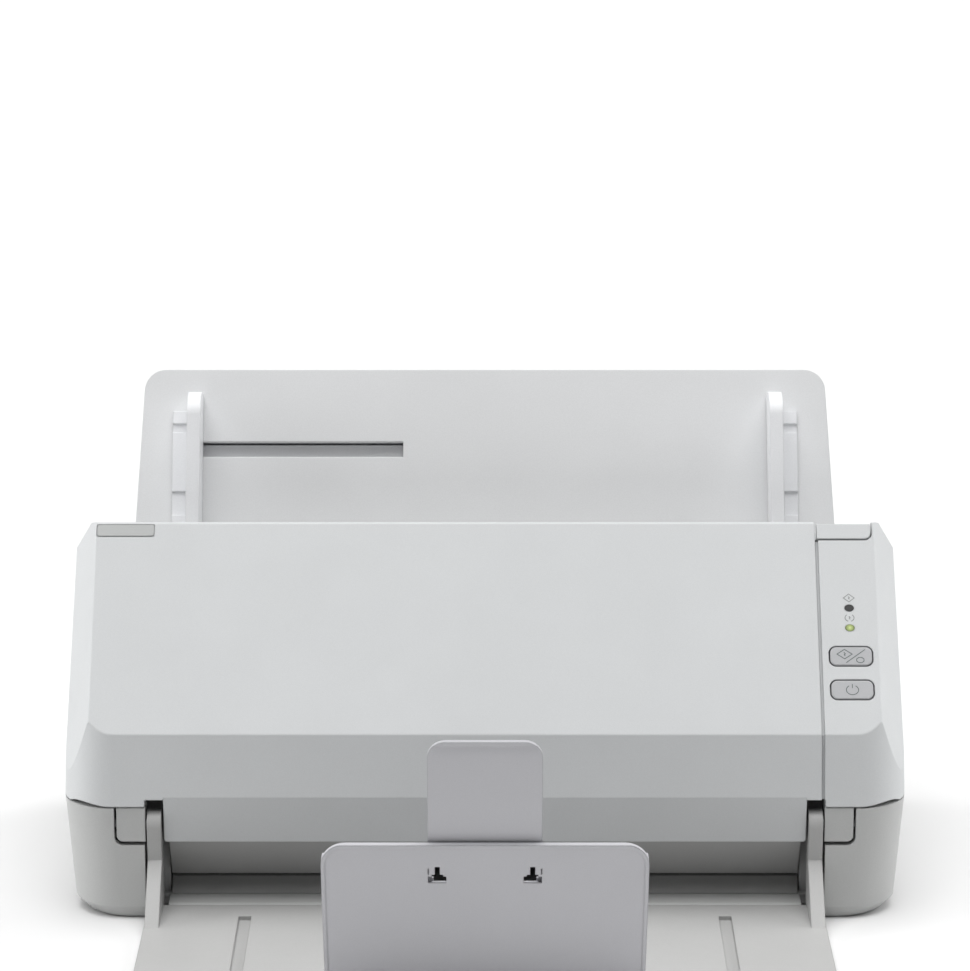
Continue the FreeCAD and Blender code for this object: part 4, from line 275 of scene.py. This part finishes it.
# ---- Feeder frame and paper guide ----------------------------------------------------------------
# Grey glass-filled polycarbonate, moulded smooth where sheets slide over it and clipped or screwed
# into the skins. Fibres at the surface leave it satin with a faint streak.
frame_pc = moulded("frame_polycarbonate_grey_satin", "#a6a6a5", 0.6, 0.006, 0.42, 0.4, ior=1.58)
finish(frame_pc, "feeder_frame")
guide_pc = moulded("guide_polycarbonate_dark_grey_satin", "#868685", 0.6, 0.005, 0.38, 0.4, ior=1.58)
finish(guide_pc, "guide_plate")

# ---- Top cover, operator panel and release tab ---------------------------------------------------
# The case's ABS a shade lighter, in one wide and one narrow moulding that meet at a stepped seam. The
# finer grain of these visible faces makes them look almost plain.
lid_abs = moulded("lid_abs_pale_grey_fine_grain", "#c9cbcc", 0.4, 0.007, 0.5, 0.5)
finish(lid_abs, "top_cover", "operator_panel", "release_tab")

# ---- Blank name plate ----------------------------------------------------------------------------
# A thin matt polyester label on a plastic carrier, stuck in a shallow recess at the cover's top left
# corner. Nothing is printed on it.
joints = {joint["name"]: joint for joint in frame["record"]["behaviour"]["joints"]}
outward = -Vector(joints["scan_press"]["axis"]).normalized()      # keys are pressed square to the slope
down_slope = Vector((0.0, -outward.z, outward.y))
MM = 0.001


def outer_face(name):
    """Middle (across, down the slope) and half sizes of a node's outermost face, and how far out it is."""
    spots = [v.co for v in frame["nodes"][name].data.vertices]
    out = max(p.dot(outward) for p in spots)
    rim = [p for p in spots if out - p.dot(outward) < 0.02 * MM]
    across = [p.x for p in rim]
    down = [p.dot(down_slope) for p in rim]
    middle = ((min(across) + max(across)) / 2, (min(down) + max(down)) / 2)
    return middle, ((max(across) - min(across)) / 2, (max(down) - min(down)) / 2), out


def on_slope(across, down, out):
    """A point from its distances across, down the slope and out of it."""
    return Vector((across, 0.0, 0.0)) + down_slope * down + outward * out


def new_piece(name, shape, body, material):
    """Makes a piece from a finished mesh and lets it ride on a body."""
    mesh = bpy.data.meshes.new(name)
    bmesh.ops.recalc_face_normals(shape, faces=shape.faces)
    shape.to_mesh(mesh)
    shape.free()
    piece = bpy.data.objects.new(name, mesh)
    bpy.context.scene.collection.objects.link(piece)
    mesh.materials.append(material)
    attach(piece, body)
    return piece


PLATE_HALF_W, PLATE_HALF_H = 10.2 * MM, 2.25 * MM
PLATE_ROUND, PLATE_EDGE = 0.8 * MM, 0.08 * MM
PLATE_T, PLATE_SUNK = 0.4 * MM, 0.5 * MM
PLATE_FROM_SIDE = 20.0 * MM      # middle of the plate from the cover's left side ...
PLATE_BELOW_TAB_TOP = 2.2 * MM   # ... and how far it is down the slope from the tab's top edge
tab_middle, tab_half, _ = outer_face("release_tab")
slope_out = outer_face("operator_panel")[2]
plate_middle = (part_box("top_cover")[0][0] + PLATE_FROM_SIDE,
                tab_middle[1] - tab_half[1] + PLATE_BELOW_TAB_TOP)
shape = bmesh.new()
rounds = []
for quarter in range(4):
    side, end = (1, 1, -1, -1)[quarter], (-1, 1, 1, -1)[quarter]
    for step in range(5):
        turn = math.radians(90 * (quarter - 1) + 22.5 * step)
        rounds.append((plate_middle[0] + side * (PLATE_HALF_W - PLATE_ROUND) + PLATE_ROUND * math.cos(turn),
                       plate_middle[1] + end * (PLATE_HALF_H - PLATE_ROUND) + PLATE_ROUND * math.sin(turn)))
plate_foot = slope_out - PLATE_SUNK
face = shape.faces.new([shape.verts.new(on_slope(a, d, plate_foot)) for a, d in rounds])
raised = bmesh.ops.extrude_face_region(shape, geom=[face])["geom"]
top_points = [g for g in raised if isinstance(g, bmesh.types.BMVert)]
bmesh.ops.translate(shape, verts=top_points, vec=outward * PLATE_T)
top_edges = [e for e in shape.edges if all((v.co.dot(outward) - plate_foot) > PLATE_T / 2 for v in e.verts)]
bmesh.ops.bevel(shape, geom=top_edges, offset=PLATE_EDGE, segments=2, affect="EDGES")
label = moulded("label_polyester_grey_matt", "#b4b6b5", 0.3, 0.003, 0.6, 0.1, ior=1.57)
new_piece("name_plate", shape, "feeder_unit", label)

# ---- Keys ----------------------------------------------------------------------------------------
# Two ABS key caps, darker than the panel and smoother, each held by a flange under it. Fingers have
# polished them a little.
key_abs = moulded("key_abs_grey_smooth", "#adaeb0", 0.35, 0.004, 0.4, 0.5)
finish(key_abs, "scan_button", "power_button")

# ---- Printed symbols -----------------------------------------------------------------------------
# Pad-printed grey ink: start above the upper lamp, power above the lower one, start and stop on the upper
# key, power on the lower key. The ink stands a few hundredths of a millimetre proud, dull and a bit patchy.
INK_T = 0.03 * MM
INK_W = 0.30 * MM
MITRE_LEAST = 0.4          # keeps the corners of sharp turns short


def ink(name, colour):
    """Pad-printing ink, thin and matt, with patches where less of it came off the pad."""
    material, tree, place = new_material(name)
    patches = add_node(tree, "ShaderNodeTexNoise", {"Vector": place, "Scale": 1000 / 0.6, "Detail": 3.0})
    shade = add_node(tree, "ShaderNodeMapRange", {"Value": patches.outputs["Fac"], "From Min": 0.3,
                                                  "From Max": 0.7, "To Min": 0.85, "To Max": 1.2})
    tint = add_node(tree, "ShaderNodeVectorMath", {0: linear(colour)[:3], "Scale": shade.outputs["Result"]},
                    operation="SCALE")
    shader = add_node(tree, "ShaderNodeBsdfPrincipled", {"Base Color": tint.outputs["Vector"], "IOR": 1.5,
                                                         "Roughness": 0.6})
    add_node(tree, "ShaderNodeOutputMaterial", {"Surface": shader.outputs["BSDF"]})
    return material


def printed_line(shape, path, closed, middle, out):
    """One printed line: a thin flat ribbon along (across, down) points in millimetres round a middle."""
    rings = []
    points = [Vector((a * MM, d * MM)) for a, d in path]
    for i, point in enumerate(points):
        ways = []
        if closed or i > 0:
            ways.append((point - points[i - 1]).normalized())
        if closed or i < len(points) - 1:
            ways.append((points[(i + 1) % len(points)] - point).normalized())
        way = sum(ways, Vector((0.0, 0.0))).normalized()
        side = Vector((-way.y, way.x)) * (INK_W / 2) / max(MITRE_LEAST, way.dot(ways[0]))
        corners = [(point + side, 0), (point - side, 0), (point - side, INK_T), (point + side, INK_T)]
        rings.append([shape.verts.new(on_slope(middle[0] + c.x, middle[1] + c.y, out + up))
                      for c, up in corners])
    spans = len(rings) if closed else len(rings) - 1
    for i in range(spans):
        near, far = rings[i], rings[(i + 1) % len(rings)]
        for k in range(4):
            shape.faces.new((near[k], near[(k + 1) % 4], far[(k + 1) % 4], far[k]))
    if not closed:
        shape.faces.new(rings[0])
        shape.faces.new(rings[-1][::-1])


def arc_path(across, down, wide, tall, start, end, steps):
    """Points along part of an oval, in degrees from the right and round downwards."""
    turns = [math.radians(start + (end - start) * k / steps) for k in range(steps + 1)]
    return [(across + wide * math.cos(t), down + tall * math.sin(t)) for t in turns]


def diamond(across, down, wide, tall):
    """The four corners of a diamond."""
    return [(across - wide, down), (across, down - tall), (across + wide, down), (across, down + tall)]


def flash(across, down, size):
    """The small bent stroke in the middle of the start and ready symbols."""
    return [(across - 0.3 * size, down - size), (across + 0.4 * size, down - 0.1 * size),
            (across - 0.2 * size, down + 0.2 * size), (across + 0.3 * size, down + size)]


panel_ink = ink("ink_pad_printed_grey", "#8b8e8d")
key_ink = ink("ink_pad_printed_dark_grey", "#5f6867")
SYMBOL_ABOVE_LAMP = 3.85   # middle to middle, in millimetres
upper_lamp, lower_lamp = outer_face("status_lens")[0], outer_face("ready_lens")[0]

shape = bmesh.new()
printed_line(shape, diamond(0.0, -SYMBOL_ABOVE_LAMP, 1.95, 1.5), True, upper_lamp, slope_out)
printed_line(shape, flash(0.0, -SYMBOL_ABOVE_LAMP, 0.55), False, upper_lamp, slope_out)
new_piece("start_symbol", shape, "feeder_unit", panel_ink)

shape = bmesh.new()
for start, end in ((-55, 70), (110, 235)):
    bracket = arc_path(0.0, -SYMBOL_ABOVE_LAMP, 1.6, 1.35, start, end, 14)
    printed_line(shape, bracket, False, lower_lamp, slope_out)
printed_line(shape, flash(0.0, -SYMBOL_ABOVE_LAMP, 0.6), False, lower_lamp, slope_out)
new_piece("ready_symbol", shape, "feeder_unit", panel_ink)

key_middle, _, key_out = outer_face("scan_button")
shape = bmesh.new()
printed_line(shape, diamond(-2.3, -0.75, 2.7, 1.8), True, key_middle, key_out)
printed_line(shape, flash(-2.3, -0.75, 0.7), False, key_middle, key_out)
printed_line(shape, [(-1.8, 2.5), (5.0, -2.5)], False, key_middle, key_out)
eight_sided = arc_path(3.2, 1.5, 1.4, 1.05, 22.5, 337.5, 7)
printed_line(shape, eight_sided, True, key_middle, key_out)
new_piece("start_stop_symbol", shape, "scan_key", key_ink)

key_middle, _, key_out = outer_face("power_button")
shape = bmesh.new()
printed_line(shape, arc_path(0.0, 0.1, 2.15, 1.8, -58, 238, 28), False, key_middle, key_out)
printed_line(shape, [(0.0, -2.15), (0.0, -0.55)], False, key_middle, key_out)
new_piece("power_symbol", shape, "power_key", key_ink)

# ---- Lamp lenses ---------------------------------------------------------------------------------
# Acrylic light pipes, polished, one smoked and dark and one tinted green with its diode lit. The diode
# sits behind the middle, so the lit pipe is brightest there and deep green at its rim.


RIM_FROM_MIDDLE = 1.6 * MM


def light_pipe(name, middle_colour, rim_colour, spot, roughness, glow):
    """Tinted acrylic, shaded from the middle of its face to its rim."""
    material, tree, place = new_material(name)
    away = add_node(tree, "ShaderNodeVectorMath", {0: place, 1: spot}, operation="DISTANCE")
    near = add_node(tree, "ShaderNodeMapRange", {"Value": away.outputs["Value"], "From Min": 0.1 * MM,
                                                 "From Max": RIM_FROM_MIDDLE})
    tint = add_node(tree, "ShaderNodeMix", {"Factor": near.outputs["Result"], "A": linear(middle_colour),
                                            "B": linear(rim_colour)}, data_type="RGBA")
    sockets = {"Base Color": tint.outputs["Result"], "IOR": 1.49, "Roughness": roughness}
    if glow:
        sockets.update({"Emission Color": tint.outputs["Result"], "Emission Strength": glow})
    shader = add_node(tree, "ShaderNodeBsdfPrincipled", sockets)
    add_node(tree, "ShaderNodeOutputMaterial", {"Surface": shader.outputs["BSDF"]})
    return material


for node, name, middle_colour, rim_colour, roughness, glow in (
        ("status_lens", "lens_acrylic_smoked", "#0d0e0e", "#070707", 0.4, 0.0),
        ("ready_lens", "lens_acrylic_green_lit", "#b6c678", "#5a6a2c", 0.3, 0.12)):
    middle, _, out = outer_face(node)
    spot = on_slope(middle[0], middle[1], out)
    finish(light_pipe(name, middle_colour, rim_colour, spot, roughness, glow), node)

# ---- Stacker tray, flap and stop -----------------------------------------------------------------
# ABS a little darker than the case. The tray has the case's grain, and the curved flap and its sliding
# stop are satin so that sheets run up them.
stacker_abs = moulded("stacker_abs_grey_eroded", "#acacab", 0.45, 0.008, 0.48, 0.7)
finish(stacker_abs, "stacker_tray")
flap_abs = moulded("flap_abs_grey_satin", "#bbbbbf", 0.4, 0.004, 0.4, 0.8)
finish(flap_abs, "stacker_flap", "stacker_stop")

# ---- Chute, extension and side guides ------------------------------------------------------------
# Pale ABS mouldings that clip into the rear cover, with two sliding guides for the sheets' edges. The
# guides are smoother, because sheets rub along them.
chute_abs = moulded("chute_abs_pale_grey_eroded", "#e2e3e4", 0.45, 0.006, 0.5, 0.6)
finish(chute_abs, "chute_panel", "chute_back", "chute_extension")
guide_abs = moulded("side_guide_abs_smooth", "#e6e7e9", 0.4, 0.004, 0.42, 0.6)
finish(guide_abs, "side_guide_left", "side_guide_right")

# ---- Floor ---------------------------------------------------------------------------------------
# A sheet of white card under the object, matt and very slightly uneven. It is only a backdrop.
scene = bpy.context.scene
scene.view_settings.view_transform = "Standard"
FLOOR_HALF = 6.0
mesh = bpy.data.meshes.new("floor")
shape = bmesh.new()
bmesh.ops.create_grid(shape, x_segments=2, y_segments=2, size=FLOOR_HALF)
shape.to_mesh(mesh)
shape.free()
floor = bpy.data.objects.new("floor", mesh)
scene.collection.objects.link(floor)
material, tree, place = new_material("floor_card_white_matt")
CLOUD_MM = 250             # size of the card's faint patches
card = add_node(tree, "ShaderNodeTexNoise", {"Vector": place, "Scale": 1000 / CLOUD_MM})
shade = add_node(tree, "ShaderNodeMapRange", {"Value": card.outputs["Fac"], "To Min": 0.72, "To Max": 0.75})
shader = add_node(tree, "ShaderNodeBsdfPrincipled", {"Base Color": shade.outputs["Result"], "Roughness": 0.9})
add_node(tree, "ShaderNodeOutputMaterial", {"Surface": shader.outputs["BSDF"]})
mesh.materials.append(material)

# ---- Light ---------------------------------------------------------------------------------------
# One very large softbox overhead, one smaller and lower on each side, and a faint even fill from
# white walls.
world = bpy.data.worlds.new("studio")
scene.world = world
world.use_nodes = True
walls = world.node_tree.nodes["Background"]
walls.inputs["Color"].default_value = linear("#ffffff")
walls.inputs["Strength"].default_value = 0.12


def soft_sun(name, energy, spread, azimuth, elevation):
    """A broad soft light from one direction, in degrees. Azimuth 0 is in front and 90 to the right."""
    lamp = bpy.data.lights.new(name, "SUN")
    lamp.energy = energy
    lamp.angle = math.radians(spread)
    a, e = math.radians(azimuth), math.radians(elevation)
    source = Vector((math.sin(a) * math.cos(e), -math.cos(a) * math.cos(e), math.sin(e)))
    holder = bpy.data.objects.new(name, lamp)
    holder.rotation_mode = "QUATERNION"
    holder.rotation_quaternion = source.to_track_quat("Z", "Y")
    scene.collection.objects.link(holder)


soft_sun("overhead_softbox", 3.1, 60, -20, 86)
soft_sun("left_softbox", 1.85, 40, -97, 14)
soft_sun("right_softbox", 1.6, 40, 108, 24)

# ---- Camera --------------------------------------------------------------------------------------
# Straight in front, a good metre away and looking 15 degrees down, with a long lens on a 36 mm wide
# frame.
DOWN = 15
camera = bpy.data.objects.new("camera", bpy.data.cameras.new("camera"))
camera.data.lens = 145.93
camera.data.sensor_width = 36.0
camera.data.sensor_fit = "HORIZONTAL"
camera.data.clip_start = 0.1
camera.data.clip_end = 20.0
camera.location = (0.0, -1.3135, 0.5084)
camera.rotation_euler = (math.radians(90 - DOWN), 0.0, 0.0)
scene.collection.objects.link(camera)
scene.camera = camera
